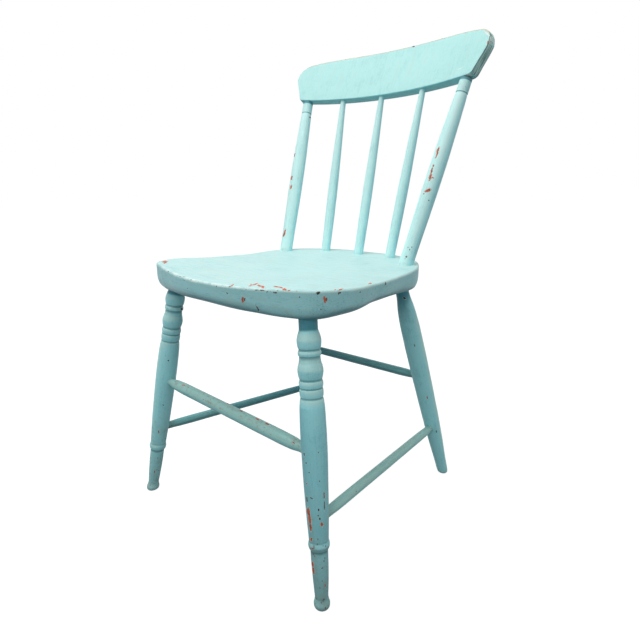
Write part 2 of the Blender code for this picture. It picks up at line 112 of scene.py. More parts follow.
# Leg axes at the seat's underside and on the floor, with the drift and skew of hand fitting
FRONT_LEG_TOP = (0.1603, -0.1313)
FRONT_LEG_FOOT = (0.2164, -0.1731)
FRONT_TOP_SKEW = -0.0047
FRONT_DRIFT = (0.0, -0.0032)
BACK_LEG_TOP = (0.1176, 0.1505)
BACK_LEG_FOOT = (0.1764, 0.2465)
BACK_DRIFT = (0.0013, 0.0028)
FOOT_SKEW = 0.0060
LEG_COLUMNS = 108
FRONT_LEG_ROWS = 560
BACK_LEG_ROWS = 300
LEG_HIDDEN = 0.006
# Painted shadow of the seat on the legs: where it is darkest and where it has gone, down the front legs and
# down the back legs
SEAT_SHADOW_ON_LEGS = ((0.014, 0.022), (0.015, 0.080))
# Shaft of the front legs, below their turnings, a little darker than the rest with painted shade, the right
# one most
SHAFT_START = 0.110
SHAFT_BLEND = 0.01
SHAFT_SHADE = {"front_leg_right": 0.56, "front_leg_left": 0.12}
# How dirty the lower half of each leg is
LEG_DIRT = {"front_leg_right": 0.85, "front_leg_left": 0.8, "back_leg_right": 0.4, "back_leg_left": 0.4}
LEG_DIRT_REACH = 0.29
SOLE_EDGE = 0.005
# Rings across the flat sole, as shares of its radius
SOLE_RINGS = (0.999, 0.9, 0.6, 0.3)
# Fewest rows in one turned feature
LEG_LEAST_ROWS = 10
LEG_FIRST_SEED = 21

# Front leg turning: distance below the seat and radius, one run for each turned feature
FRONT_LEG_LENGTH = 0.4122
NECK_RADIUS = 0.0128
FRONT_LEG_RUNS = (
    ((0.0, NECK_RADIUS), (0.0155, NECK_RADIUS), (0.0196, 0.0140), (0.0245, 0.0155), (0.0305, 0.0166),
     (0.0375, 0.0161), (0.0430, 0.0144)),
    ((0.0430, 0.0144), (0.0448, 0.0155), (0.0474, 0.0160), (0.0500, 0.0156), (0.0517, 0.0143)),
    ((0.0517, 0.0143), (0.0588, 0.0151), (0.0650, 0.0168), (0.0703, 0.0176), (0.0769, 0.0169),
     (0.0835, 0.0151)),
    ((0.0835, 0.0151), (0.0851, 0.0162), (0.0885, 0.0166), (0.0925, 0.0161), (0.0945, 0.0151)),
    ((0.0945, 0.0151), (0.0963, 0.0162), (0.0999, 0.0164), (0.1046, 0.0161), (0.1073, 0.0152)),
    ((0.1073, 0.0152), (0.1110, 0.0164), (0.1300, 0.0177), (0.1650, 0.0182), (0.2150, 0.0175),
     (0.2650, 0.0161), (0.3105, 0.0140)),
    ((0.3105, 0.0140), (0.3135, 0.0148), (0.3165, 0.0153), (0.3205, 0.0147), (0.3240, 0.0126)),
    ((0.3240, 0.0126), (0.3420, 0.0124), (0.3600, 0.0118), (0.3960, 0.0097)),
    ((0.3960, 0.0097), (0.4010, 0.0107), (0.4055, 0.0118), (0.4090, 0.0114), (0.4112, 0.0100),
     (0.4122, 0.0080)),
)
LEFT_PATTERN_RISE = 0.0065

# Back leg: one plain swelling taper
BACK_LEG_LENGTH = 0.4227
BACK_LEG_RUNS = ((
    (0.0, 0.0116), (0.0246, 0.0122), (0.0546, 0.0158), (0.0926, 0.0179), (0.1316, 0.0181),
    (0.2125, 0.0173), (0.2706, 0.0163), (0.3296, 0.0146), (0.3913, 0.0115), (0.4165, 0.0104),
    (0.4205, 0.0096), (0.4227, 0.0080),
),)
FOOT_SHEAR = 0.030

# Stretchers: share of the way down each leg, radius at the middle and at the ends
STRETCHERS = {
    "front_stretcher": ((True, 1, 0.4523), (True, -1, 0.4360), 0.0102, 0.0074),
    "rear_stretcher": ((False, 1, 0.4606), (False, -1, 0.4724), 0.0082, 0.0071),
    "side_stretcher_right": ((True, 1, 0.6852), (False, 1, 0.7312), 0.0080, 0.0071),
    "side_stretcher_left": ((True, -1, 0.6753), (False, -1, 0.7312), 0.0080, 0.0071),
}
# Painted shade on each, at its first and at its second leg
STRETCHER_SHADE = {
    "front_stretcher": (0.0, 0.0), "rear_stretcher": (0.52, 1.0),
    "side_stretcher_right": (0.0, 0.0), "side_stretcher_left": (0.58, 1.0),
}
# How far shoes have worn the tops
STRETCHER_WEAR = {"front_stretcher": 0.42, "side_stretcher_right": 0.15}
STRETCHER_RUN = ((0.060, 0.0), (0.11, 0.72), (0.19, 1.0))
STRETCHER_GAP_TO_AXIS = 0.0025
STRETCHER_COLUMNS = 60
STRETCHER_ROWS = 240
STRETCHER_FIRST_SEED = 30
# Dirt all along, more dirt at the joints, and how far from a leg's axis that reaches and fades out
STRETCHER_DIRT = 0.1
STRETCHER_JOINT_DIRT = 0.5
STRETCHER_JOINT = 0.012
STRETCHER_JOINT_BLEND = 0.03

# Crest rail: a bent board that leans back, drawn in its own plane with x along it and rise up its face
CREST_LEAN = math.radians(22.0)
CREST_BASE = (0.2505, 0.7364)
CREST_BOW = 0.0319
CREST_DRIFT = 0.0016
CREST_BOTTOM_THICKNESS = 0.018
CREST_TOP_THICKNESS = 0.013
CREST_FACE_SLOPE = 0.0596
CREST_TOP_LINE = ((0.0, 0.0946), (0.063, 0.0936), (0.110, 0.0910), (0.152, 0.0864), (0.180, 0.0806),
                  (0.1912, 0.0770), (0.2005, 0.0704), (0.2075, 0.0616), (0.2100, 0.0526), (0.2104, 0.0475))
CREST_BOTTOM_LINE = ((0.0, 0.0), (0.094, -0.0011), (0.150, -0.0021), (0.1868, -0.0025), (0.1922, -0.0006),
                     (0.1992, 0.0147), (0.2062, 0.0305), (0.2094, 0.0390), (0.2104, 0.0428))
CREST_HALF_WIDTH = CREST_TOP_LINE[-1][0]
CREST_BEND = CREST_BOW / CREST_HALF_WIDTH ** 2
CREST_TOP_ROUND = 0.0040
CREST_BOTTOM_ROUND = 0.0022
CREST_MOST_ROUND = 0.45
CREST_COLUMNS = 400
CREST_FACE_ROWS = 46
CREST_ROUND_ROWS = 6
CREST_WORN_EDGE = 0.0022
CREST_WORN_MIDDLE = 0.0028
CREST_WORN_STRENGTH = 1.8
CREST_UNDERSIDE_SHADE = 0.35
CREST_RIPPLE = 0.11
CREST_SEED = 5
# Sawn end grain shows where the surface faces this far along the rail
SAWN_FROM = 0.45
SAWN_BLEND = 0.2

# Back posts and spindles
POST_BASE = (0.1448, 0.1275)
POST_TOP_X = 0.1772
POST_DRIFT = (-0.0017, 0.0026)
POST_RUN = ((0.0, 0.0125), (0.10, 0.0126), (0.20, 0.0130), (0.31, 0.0134), (0.42, 0.0136), (0.52, 0.0135),
            (0.62, 0.0131), (0.73, 0.0122), (0.83, 0.0112), (0.90, 0.0104), (0.920, 0.0098))
POST_COLLAR_RADIUS = 0.0103
POST_COLLAR_LIP = 0.0006
# Width of the painted shade line at the collar's shoulder
POST_LINE = 0.0010
# Painted shadow line where each post meets the crest rail, the dirt by its joints and on its collar, and the
# painted shade line at the collar's shoulder
POST_GAP = 0.0068
POST_GAP_BLEND = 0.002
ROD_JOINT = 0.006
POST_TOP_JOINT = 0.008
JOINT_DIRT = 0.4
COLLAR_DIRT = 0.35
COLLAR_DIRT_BLEND = 0.004
POST_LINE_STRENGTH = 1.4
SPINDLE_BASES = {"left": (-0.0800, 0.1774), "middle": (-0.0025, 0.1865), "right": (0.0772, 0.1774)}
SPINDLE_TOP_SPREAD = 1.1535
SPINDLE_RUN = ((0.0, 0.0090), (0.12, 0.0094), (0.28, 0.0097), (0.40, 0.0096), (0.52, 0.0091), (0.70, 0.0079),
               (0.88, 0.0064), (1.0, 0.0054))
ROD_HIDDEN = 0.005
# How far the hidden top of a post is drawn in
ROD_TUCK = 0.45
POST_COLUMNS = 76
POST_ROWS = 420
POST_LIP_ROWS = 6
COLLAR_ROWS = 24
POST_FIRST_SEED = 41
SPINDLE_COLUMNS = 44
SPINDLE_ROWS = 180
SPINDLE_FIRST_SEED = 43

# How far a surface lies inside its solid at least, and how much further in places
COAT_LOSS = 0.0001
COAT_UNEVEN = 0.0002

# Turned pieces: where their seam points, and the size of their unevenness
SEAM_DIRECTION = np.array((-0.6, 0.8, 0.0))
TURNED_RIPPLE = 0.060
# Moves the grain of each turned piece away from the others'
GRAIN_SHIFT = 0.7
# Length over which a profile is averaged to find its grooves and beads, and in how many steps
HOLLOW_REACH = 0.012
HOLLOW_STEPS = 12
# Depth at which a groove's painted shade is full
GROOVE_DEPTH = 0.0008
# Height at which a bead's worn paint and painted highlight are full, and their strength
BEAD_HEIGHT = 0.0012
BEAD_WEAR_AND_HIGHLIGHT = 0.55
# How far up a surface faces where its painted light starts and where it is full, and how fast the painted
# shade darkens it below
TOP_LIGHT_FROM = 0.0
TOP_LIGHT_FULL = 0.22
UNDERSIDE_SHADE_OVER = 0.5
CREASE_ANGLE = math.radians(50.0)

# Camera, found by fitting the photograph's view; its place and aim are measured from the seat's own frame
CAMERA_PLACE = (0.57564, -0.58077, 0.57050)
CAMERA_AIM = (0.02803, 0.03729, 0.34367)
PHOTO_SIZE = 640
FOCAL_PIXELS = 482.53
SENSOR_WIDTH = 36.0

# Soft lights: place, point aimed at and width
OVERHEAD_LIGHT = ((-0.25, -0.35, 2.3), (0.0, 0.0, 0.4), 1.8)
FRONT_LIGHT = ((1.0, -2.7, 2.2), (0.0, 0.0, 0.6), 1.6)
FLOOR_GREY = (0.20, 0.20, 0.20, 1.0)
FLOOR_GLOW = 0.93
WHITE = (1.0, 1.0, 1.0, 1.0)

# Noises of the brushwork: scale, its share along the grain, and roughness; then how much each counts
HAIRS = (1100.0, 0.02, 0.6)
STROKES = (560.0, 0.03, 0.6)
STREAKS = (130.0, 0.05, 0.55)
BRUSH_SHARES = (0.7, 0.9, 0.6)
# Noises of the unevenness: scale, detail and roughness
CLOUDS = (15.0, 4.0, 0.6)
MOTTLE = (80.0, 4.0, 0.7)
RAGGED = (620.0, 4.0, 0.7)
SAWN_LINES = (480.0, 3.0, 0.6)
NOISE_MIDDLE = 0.5
# Where each layer starts to show and where it shows in full, and how strongly it covers what lies below it
SCUFF_SPAN = (0.0, 0.7)
DARK_SPAN = (-0.1, 0.6)
WARM_SPAN = (0.52, 0.72)
FILM_SPAN = (0.15, 1.2)
FILM_STRENGTH = 0.75
GROOVE_SPAN = (0.15, 0.9)
GROOVE_STRENGTH = 0.75
WEAR_AND_HIGHLIGHT_SPAN = (0.42, 0.85)
WEAR_AND_HIGHLIGHT_STRENGTH = 0.7
SAWN_SPAN = (0.3, 0.8)
SAWN_STRENGTH = 0.85
CHIP_SPAN = (0.0, 0.12)
LIP_SPAN = (-0.35, 0.0)
LIP_STRENGTH = 0.55
BARE_SPAN = (0.40, 0.60)
SCRATCH_SPAN = (0.5, 0.6)
FLECK_SPAN = (0.02, 0.22)
FLECK_STRENGTH = 0.7
# Spots by scale, radius as a share of the cell and share of the cells
SPECKS = (55.0, 0.045, 0.14)
FLECKS = (270.0, 0.27, 0.5)
# Tints that darken or warm what they lie over
DARK_TINT = (0.45, 0.62, 0.64, 1.0)
WARM_TINT = (1.0, 0.86, 0.80, 1.0)
# Painted shade in the grooves, also used for dirt at the sole's edge
GROOVE_SHADE_AND_DIRT_TINT = (0.30, 0.42, 0.44, 1.0)
UNDERCOAT_TINT = (0.55, 0.45, 0.5, 1.0)
SAWN_DARK = (0.08, 0.17, 0.17, 1.0)
SAWN_PALE = (0.56, 0.86, 0.80, 1.0)
BUMP_DEPTH = 0.0005
BUMP_STRENGTH = 0.5
SPECULAR = 0.35

# Chips by piece, as seen in the photograph: x and y of one end and of the other and the width, in its pixels,
# and how bare the wood is in it, from 0 for undercoat to 1 for old wood, with -1 for a pale scratch
CHIPS = {
    "seat": (
        (250, 283.9, 252, 284.6, 1.0, 0.0), (252.5, 285.2, 258, 283.3, 1.3, 0.0),
        (257, 285, 262, 286.6, 1.6, 0.0), (261, 286.5, 264.6, 287.2, 2.8, 0.0),
        (248.5, 286, 252, 285.6, 1.0, 0.0), (273.2, 286.2, 280, 287.2, 1.2, 0.0),
        (279, 287, 283.5, 288.4, 1.4, 0.0), (282.5, 288.6, 286.6, 290, 2.5, 0.0),
        (287.5, 290.3, 290.5, 290.6, 1.0, 0.0), (254.5, 290, 259, 290.3, 1.2, 0.7),
        (260, 290.2, 264.6, 290.6, 1.2, 0.8), (266.4, 291.8, 268.6, 292, 1.3, 0.9),
        (271.5, 292.4, 278.3, 293, 1.6, 0.8), (245, 289.6, 247, 289.8, 1.0, 0.4),
        (316, 293.6, 320.5, 291.6, 1.9, 0.9), (317, 294.6, 319.6, 293.4, 1.2, 0.8),
        (334, 289.8, 336.2, 289.6, 1.3, 0.0), (338, 290.4, 343, 288.8, 1.5, 0.1),
        (337.2, 294.6, 339.6, 292.2, 1.5, 0.8), (339.6, 293.6, 341.6, 291.6, 1.1, 0.9),
        (368, 283.9, 372, 283.2, 1.3, 0.0), (385.3, 282, 385.9, 285.6, 1.2, 0.7),
        (162.3, 261.9, 168, 261.4, 1.9, 0.0), (163.5, 263.2, 167, 262.6, 1.0, 0.4),
        (226.6, 292.4, 227.8, 294, 1.2, 1.0), (228.8, 287, 233.4, 285, 1.0, 0.3),
        (232, 284.6, 234, 284.8, 1.0, 0.2), (242.6, 296.6, 243, 303, 2.2, 0.3),
        (244.8, 297.6, 244.4, 301.6, 1.3, 0.6), (241.6, 298.6, 242.2, 302, 1.2, 0.0),
        (255.6, 304.4, 259.4, 311.6, 1.2, 0.8), (257.6, 311.6, 259, 309, 1.0, 0.7),
        (324.2, 296.4, 325.6, 303.4, 3.0, 0.1), (326.4, 298, 326.2, 302.2, 1.5, 0.5),
        (320.6, 307.8, 320.9, 310.4, 1.2, 0.8), (299.4, 296.2, 300.2, 298.2, 1.4, 1.0),
        (359.2, 292.4, 360.8, 291.8, 1.3, 0.6),
        (168, 271.2, 168.8, 271.6, 1.1, 0.9), (179.6, 276.1, 180.4, 276.5, 1.0, 0.9),
        (190.6, 279.5, 191.4, 279.9, 1.1, 0.9), (216.2, 285.9, 217, 286.3, 1.1, 0.8),
        (229, 286.6, 230, 286.8, 1.1, 0.9), (187, 288.3, 187.6, 288.7, 1.0, 0.5),
        (313.6, 314.4, 314.6, 313.4, 1.0, 0.4),
    ),
    "back_post_right": (
        (439.8, 146, 436.5, 153.5, 1.9, 0.0), (438.5, 150.5, 435.3, 159, 1.4, 0.2),
        (433.7, 164.4, 433.2, 167, 1.5, 0.0), (432.8, 167, 430.4, 175, 1.7, 0.1),
        (431.2, 173.5, 429.3, 180.6, 2.8, 0.0), (432.4, 177.8, 433.2, 177.8, 1.9, 0.2),
        (424.3, 191.7, 431, 189.4, 3.1, 0.0), (423.2, 194.4, 424.2, 193, 1.1, 0.0),
        (428.6, 200.2, 429, 200.6, 1.3, 0.8), (407.5, 247.1, 408.3, 247.4, 1.1, 1.0),
        (411.5, 247.1, 412.3, 247.4, 1.1, 1.0), (409.8, 248.6, 409.4, 250.8, 1.0, 0.9),
        (406, 256.4, 406.6, 257.2, 1.9, 0.6), (404.8, 258.4, 405.6, 258.9, 1.0, 0.8),
    ),
    "back_post_left": (
        (292, 175.8, 291.2, 180, 1.5, 0.3), (291.8, 184.6, 290.4, 189.6, 1.7, 0.1),
        (285.6, 229, 283.4, 237, 1.7, 0.1), (284.6, 233, 283, 236.4, 1.3, 0.5),
        (295.2, 153, 294, 157, 1.0, 0.5), (309.8, 116.6, 310.2, 118.2, 1.2, 1.0),
    ),
    "front_leg_right": (
        (306, 462.4, 306.3, 463.6, 1.5, 1.0), (308.9, 472, 309.2, 473.3, 1.4, 1.0),
        (302.8, 458.4, 303.1, 459.6, 1.1, 0.5), (306.4, 482.6, 306.7, 484.8, 1.0, 0.3),
        (318.5, 451.6, 318.8, 453.4, 1.1, 0.7), (319.4, 480.4, 319.9, 482, 1.3, 0.7),
        (307.8, 507.2, 309.2, 516, 3.1, 0.0), (309, 514, 310.6, 525, 2.9, 0.1),
        (310.2, 523, 310.9, 531.4, 2.3, 0.0), (311.2, 537.6, 311.5, 541.4, 2.1, 0.1),
        (313.5, 547.8, 314.3, 548.4, 1.5, 0.9), (311.6, 548, 312.6, 548.4, 1.7, 0.0),
        (312.3, 561.4, 313, 567, 2.2, 0.1), (312.9, 567, 313.9, 574.2, 2.1, 0.0),
        (318.4, 508.4, 318.9, 511.4, 1.7, 1.0), (318, 515, 318.5, 516.4, 1.5, 1.0),
        (319.2, 517.6, 320.3, 520, 1.7, 1.0), (321.7, 522, 321.9, 526.6, 2.7, 0.2),
        (324, 491.4, 324.3, 499.6, 1.2, 0.5), (324.3, 500, 324.5, 511, 1.0, 0.9),
        (321.6, 567.6, 322, 569.4, 1.1, 0.6), (325, 583.6, 325.5, 587, 1.1, 0.3),
        (323.8, 598.4, 324.2, 599.8, 1.3, 1.0), (306.6, 496, 307.4, 502.6, 1.0, 0.8),
        (309.6, 497, 313.4, 499.4, 1.0, 0.9), (303.8, 452, 304.6, 456.4, 1.0, 0.6),
        (322.6, 545.4, 323.4, 546.4, 1.1, 0.9),
    ),
    "front_leg_left": (
        (168, 360, 168.8, 361.4, 1.3, 0.8), (180.9, 308.4, 183, 309.8, 2.0, 1.0),
        (172.4, 384.6, 172.8, 387, 1.1, 0.7), (158.4, 430, 159, 434, 1.0, 0.5),
        (154.4, 470, 154.8, 473.6, 1.0, 0.4), (163, 404, 163.4, 406, 1.0, 0.8),
    ),
    "back_leg_right": (
        (403, 297.4, 406, 299, 2.2, 1.0), (414.4, 344, 414.9, 347, 1.0, 0.6),
        (427, 396, 427.6, 399.4, 1.1, 0.4), (436.2, 430, 436.7, 433, 1.0, 0.7),
    ),
    "front_stretcher": (
        (181, 384.6, 185.5, 385.6, 1.1, 0.2), (255, 418.2, 260, 420.4, 1.3, 0.3),
        (264.7, 422.8, 270, 425.2, 1.5, 0.2), (292, 441.6, 295, 443.6, 1.1, 0.3),
        (202, 405.8, 203.8, 406.8, 1.2, 1.0), (226, 402.8, 231, 405, 1.0, 0.6),
        (239, 410, 243, 412, 1.0, 0.5),
    ),
    "crest_rail": (
        (411.8, 46.6, 415, 46, 1.8, 0.9), (488.2, 40.6, 487.4, 44.4, 1.2, 0.1),
        (457, 70, 463.7, 66.8, 0.8, -1.0), (491.2, 36.5, 491.8, 45, 3.0, -1.0),
        (484.5, 31.6, 489.6, 35.8, 1.9, -1.0), (466, 74.7, 477.5, 73.6, 1.6, -1.0),
    ),
}

# What every colour property has in common
COLOUR = {"subtype": "COLOR", "size": 3, "min": 0.0, "max": 1.0}


class ChairPaint(bpy.types.PropertyGroup):
    """Colours of the paint, with its painted light and painted shade, and of what shows through it."""
    # Painted light: the paint's colour on faces that look up, paler than on the sides
    top_lit_paint: FloatVectorProperty(
        name="Faded paint", description="Paint that the light has bleached",
        default=(0.55, 0.84, 0.82), **COLOUR)
    # The paint's colour on faces that look sideways, between the painted light and the painted shade
    side_lit_paint: FloatVectorProperty(
        name="Fresh paint", description="Paint that has kept its colour",
        default=(0.42, 0.84, 0.88), **COLOUR)
    # Painted shade: the dark colour put under the seat, on the far rails and on faces that look down
    shade: FloatVectorProperty(
        name="Shaded paint", description="Dark paint where no light or cloth ever came",
        default=(0.07, 0.29, 0.35), **COLOUR)
    # Whitish rubbed paint, also the colour of the painted highlight on beads and on the seat's rim
    scuff_and_highlight: FloatVectorProperty(
        name="Scuffs", description="Whitish rubbed paint",
        default=(0.78, 0.92, 0.89), **COLOUR)
    undercoat: FloatVectorProperty(
        name="Undercoat", description="Orange-red undercoat in the chips",
        default=(0.58, 0.15, 0.08), **COLOUR)
    wood: FloatVectorProperty(
        name="Bare wood", description="Dark old wood at the bottom of deep chips",
        default=(0.05, 0.045, 0.042), **COLOUR)
    grime: FloatVectorProperty(
        name="Grime", description="Dirt in the corners and on the lower parts",
        default=(0.20, 0.27, 0.23), **COLOUR)
    roughness: FloatProperty(
        name="Roughness", description="Roughness of the sound paint",
        subtype="FACTOR", min=0.0, max=1.0, default=0.5)


class ChairStudio(bpy.types.PropertyGroup):
    """Light and floor."""
    overhead: FloatProperty(
        name="Overhead light", description="Power of the large soft light above the chair",
        unit="POWER", min=0.0, default=26.0)
    front: FloatProperty(
        name="Front light", description="Power of the soft light high in front of the chair",
        unit="POWER", min=0.0, default=9.0)
    ambient: FloatProperty(
        name="Surroundings", description="Brightness of the surroundings",
        subtype="FACTOR", min=0.0, max=2.0, default=0.51)
    floor_size: FloatProperty(
        name="Floor", description="Side of the floor", unit="LENGTH", min=1.0, default=40.0)


# Curves and meshes

def smooth_curve(knots, at):
    """Monotone cubic through (place, value) knots: harmonic-mean tangents, so that it never overshoots."""
    places, values = np.array(knots, float).T
    steps = np.diff(places)
    slopes = np.diff(values) / steps
    tangents = np.zeros(len(values))
    tangents[0], tangents[-1] = slopes[0], slopes[-1]
    before, after = slopes[:-1], slopes[1:]
    first = 2 * steps[1:] + steps[:-1]
    second = steps[1:] + 2 * steps[:-1]
    rising = before * after > 0
    safe_before = np.where(rising, before, 1.0)
    safe_after = np.where(rising, after, 1.0)
    tangents[1:-1] = np.where(rising, (first + second) / (first / safe_before + second / safe_after), 0.0)
    at = np.clip(at, places[0], places[-1])
    index = np.clip(np.searchsorted(places, at, "right") - 1, 0, len(steps) - 1)
    share = (at - places[index]) / steps[index]
    rest = 1 - share
    start = values[index] * (1 + 2 * share) * rest ** 2
    end = values[index + 1] * (3 - 2 * share) * share ** 2
    return start + end + steps[index] * share * rest * (tangents[index] * rest - tangents[index + 1] * share)


def mirrored_curve(knots, degrees):
    """A half outline from -90 to 90 degrees, read at any angle, level where it crosses the middle line."""
    half = (np.asarray(degrees) + 90.0) % 360.0
    half = np.where(half > 180.0, 360.0 - half, half) - 90.0
    before = (-180.0 - knots[1][0], knots[1][1])
    after = (180.0 - knots[-2][0], knots[-2][1])
    return smooth_curve((before, *knots, after), half)


def ripples(points, size, seed, count=7):
    """Sum of sine waves with seeded directions, a smooth unevenness between about -1 and 1."""
    random = np.random.default_rng(seed)
    directions = random.normal(size=(count, 3))
    directions /= np.linalg.norm(directions, axis=1)[:, None]
    waves = 2 * np.pi / size * random.uniform(0.6, 1.7, count)
    phases = random.uniform(0, 2 * np.pi, count)
    return np.sin((points @ directions.T) * waves + phases).sum(-1) / math.sqrt(count) / 1.6


def ramp(values, start, reach):
    """0 up to a start, 1 from a reach further on and a straight rise between them."""
    return np.clip((values - start) / reach, 0, 1)


def add_object(name, data):
    """Puts a new object with a mesh, a light or a camera in the scene."""
    made = bpy.data.objects.new(name, data)
    bpy.context.scene.collection.objects.link(made)
    return made


def closed_surface(name, rings, fields):
    """Closed mesh over a grid of rings (rows, columns, 3): each ring wraps round, quads join neighbouring
    rings and triangles join each end ring to a pole at its middle. If the signed volume comes out below 0,
    every face is turned round. fields holds arrays of one or three numbers a point, kept as attributes."""
    rows, columns = rings.shape[:2]
    poles = rings[[0, -1]].mean(axis=1)
    points = np.concatenate([rings.reshape(-1, 3), poles])
    row = np.arange(rows - 1)[:, None] * columns
    here = np.arange(columns)[None, :]
    there = (here + 1) % columns
    below = row + columns
    quads = np.stack([row + here, row + there, below + there, below + here], -1).reshape(-1, 4)
    corners = points[quads]
    inside = points.mean(axis=0)
    normals = np.cross(corners[:, 2] - corners[:, 0], corners[:, 3] - corners[:, 1])
    volume = ((corners.mean(axis=1) - inside) * normals).sum()
    first = np.stack([there[0], here[0], np.full(columns, rows * columns)], -1)
    last_row = (rows - 1) * columns
    last = np.stack([last_row + here[0], last_row + there[0], np.full(columns, rows * columns + 1)], -1)
    if volume < 0:
        quads, first, last = quads[:, ::-1], first[:, ::-1], last[:, ::-1]
    loops = np.concatenate([quads.ravel(), first.ravel(), last.ravel()]).astype(np.int32)
    sizes = np.concatenate([np.full(len(quads), 4), np.full(2 * columns, 3)])
    starts = np.concatenate([[0], np.cumsum(sizes)[:-1]]).astype(np.int32)
    mesh = bpy.data.meshes.new(name)
    mesh.vertices.add(len(points))
    mesh.vertices.foreach_set("co", points.astype(np.float32).ravel())
    mesh.loops.add(len(loops))
    mesh.loops.foreach_set("vertex_index", loops)
    mesh.polygons.add(len(sizes))
    mesh.polygons.foreach_set("loop_start", starts)
    mesh.update(calc_edges=True)
    mesh.validate()
    for field, values in fields.items():
        ends = values[[0, -1]].mean(axis=1)
        if values.ndim == 3:
            data = np.concatenate([values.reshape(-1, 3), ends])
            mesh.attributes.new(field, "FLOAT_VECTOR", "POINT").data.foreach_set("vector", data.ravel())
        else:
            data = np.concatenate([values.ravel(), ends])
            mesh.attributes.new(field, "FLOAT", "POINT").data.foreach_set("value", data)
    mesh.shade_smooth()
    mesh.set_sharp_from_angle(angle=CREASE_ANGLE)
    return add_object(name, mesh)


def outward_normals(rings):
    """Unit normals of a ring surface, from the cross product of its two grid directions."""
    down = np.gradient(rings, axis=0)
    around = np.roll(rings, -1, axis=1) - np.roll(rings, 1, axis=1)
    normals = np.cross(down, around)
    normals /= np.linalg.norm(normals, axis=-1, keepdims=True) + 1e-12
    outward = ((rings - rings.mean(axis=(0, 1))) * normals).sum()
    return normals * np.sign(outward)


def seen_in_photo(points):
    """Where each point falls in the photograph, in pixels right of and below its upper left corner: its place
    across and down the camera's view, divided by how far ahead of the camera it is."""
    ahead = np.array(CAMERA_AIM) - np.array(CAMERA_PLACE)
    ahead /= np.linalg.norm(ahead)
    right = np.cross(ahead, (0.0, 0.0, 1.0))
    right /= np.linalg.norm(right)
    away = points - PLACE - CAMERA_PLACE
    scale = FOCAL_PIXELS / (away @ ahead)
    return PHOTO_SIZE / 2 + away @ right * scale, PHOTO_SIZE / 2 + away @ np.cross(ahead, right) * scale


def chips_on(rings, name):
    """How far inside a chip each point of a piece is, 1 at its middle, 0 on its outline and down to -1
    outside, and how bare the nearest chip is. Seen in the photograph, a chip is an ellipse along the line
    between its two ends, and it lies only where the surface faces the camera."""
    x, y = seen_in_photo(rings)
    faces_camera = ((CAMERA_PLACE + PLACE - rings) * outward_normals(rings)).sum(axis=-1) > 0
    depth = np.full(x.shape, -1.0)
    bare = np.zeros(x.shape)
    for start_x, start_y, end_x, end_y, width, bareness in CHIPS.get(name, ()):
        length = math.hypot(end_x - start_x, end_y - start_y)
        run_x, run_y = (end_x - start_x) / length, (end_y - start_y) / length
        away_x, away_y = x - (start_x + end_x) / 2, y - (start_y + end_y) / 2
        lengthways = (away_x * run_x + away_y * run_y) * 2 / max(length, width)
        sideways = (away_y * run_x - away_x * run_y) * 2 / width
        inside = np.where(faces_camera, 1 - np.hypot(lengthways, sideways), -1)
        bare = np.where(inside > depth, bareness, bare)
        depth = np.maximum(depth, inside)
    return depth, bare


def under_coat(rings, normals, size, seed):
    """Draws a surface in by the thickness of the paint, slightly uneven, to stay inside its solid."""
    return rings - normals * (COAT_LOSS + COAT_UNEVEN * (1 + ripples(rings, size, seed)) / 2)[..., None]


# Turned pieces

def axis_frame(start, end):
    """Unit vectors across and along an axis. The first points to the back left, to hide the seam."""
    along = (end - start) / np.linalg.norm(end - start)
    side = SEAM_DIRECTION - along * (SEAM_DIRECTION @ along)
    side /= np.linalg.norm(side)
    return side, np.cross(along, side), along


def turned_surface(start, end, stations, radii, columns, seed, level_foot=False):
    """Surface of revolution: point = start + station * axis + (radius - coat) * (cos turn * side + sin turn *
    other), where the coat is slightly uneven, as hand turning leaves it. With level_foot the last sections
    slide along the axis by the square of their share of the way, until the sole is level with the floor."""
    side, other, along = axis_frame(start, end)
    turn = np.linspace(0, 2 * np.pi, columns, endpoint=False)
    spokes = np.cos(turn)[:, None] * side + np.sin(turn)[:, None] * other
    middles = start + stations[:, None] * along
    flat = middles[:, None, :] + radii[:, None, None] * spokes
    coat = COAT_LOSS + COAT_UNEVEN * (1 + ripples(flat, TURNED_RIPPLE, seed)) / 2
    offsets = (radii[:, None, None] - coat[..., None]) * spokes
    if level_foot:
        length = np.linalg.norm(end - start)
        share = ramp(stations, length - FOOT_SHEAR, FOOT_SHEAR) ** 2
        slide = offsets[..., 2] / along[2] * share[:, None]
        offsets = offsets - slide[..., None] * along
    rings = middles[:, None, :] + offsets
    grain = np.stack([radii[:, None] * np.cos(turn), radii[:, None] * np.sin(turn),
                      np.broadcast_to(stations[:, None], rings.shape[:2])], -1)
    return rings, grain + np.array((0.0, 0.0, seed * GRAIN_SHIFT))


def leg_axis(front, side):
    """Ends of a leg's axis: at the seat's underside, and on the floor."""
    top, foot = (FRONT_LEG_TOP, FRONT_LEG_FOOT) if front else (BACK_LEG_TOP, BACK_LEG_FOOT)
    top_drift, foot_drift = FRONT_DRIFT if front else BACK_DRIFT
    skew = FRONT_TOP_SKEW if front else 0.0
    upper = np.array((side * top[0] + top_drift, top[1] + side * skew, SEAT_HEIGHT - SEAT_THICKNESS))
    lower = np.array((side * foot[0] + foot_drift, foot[1] + side * FOOT_SKEW, 0.0))
    return upper + PLACE, lower + PLACE


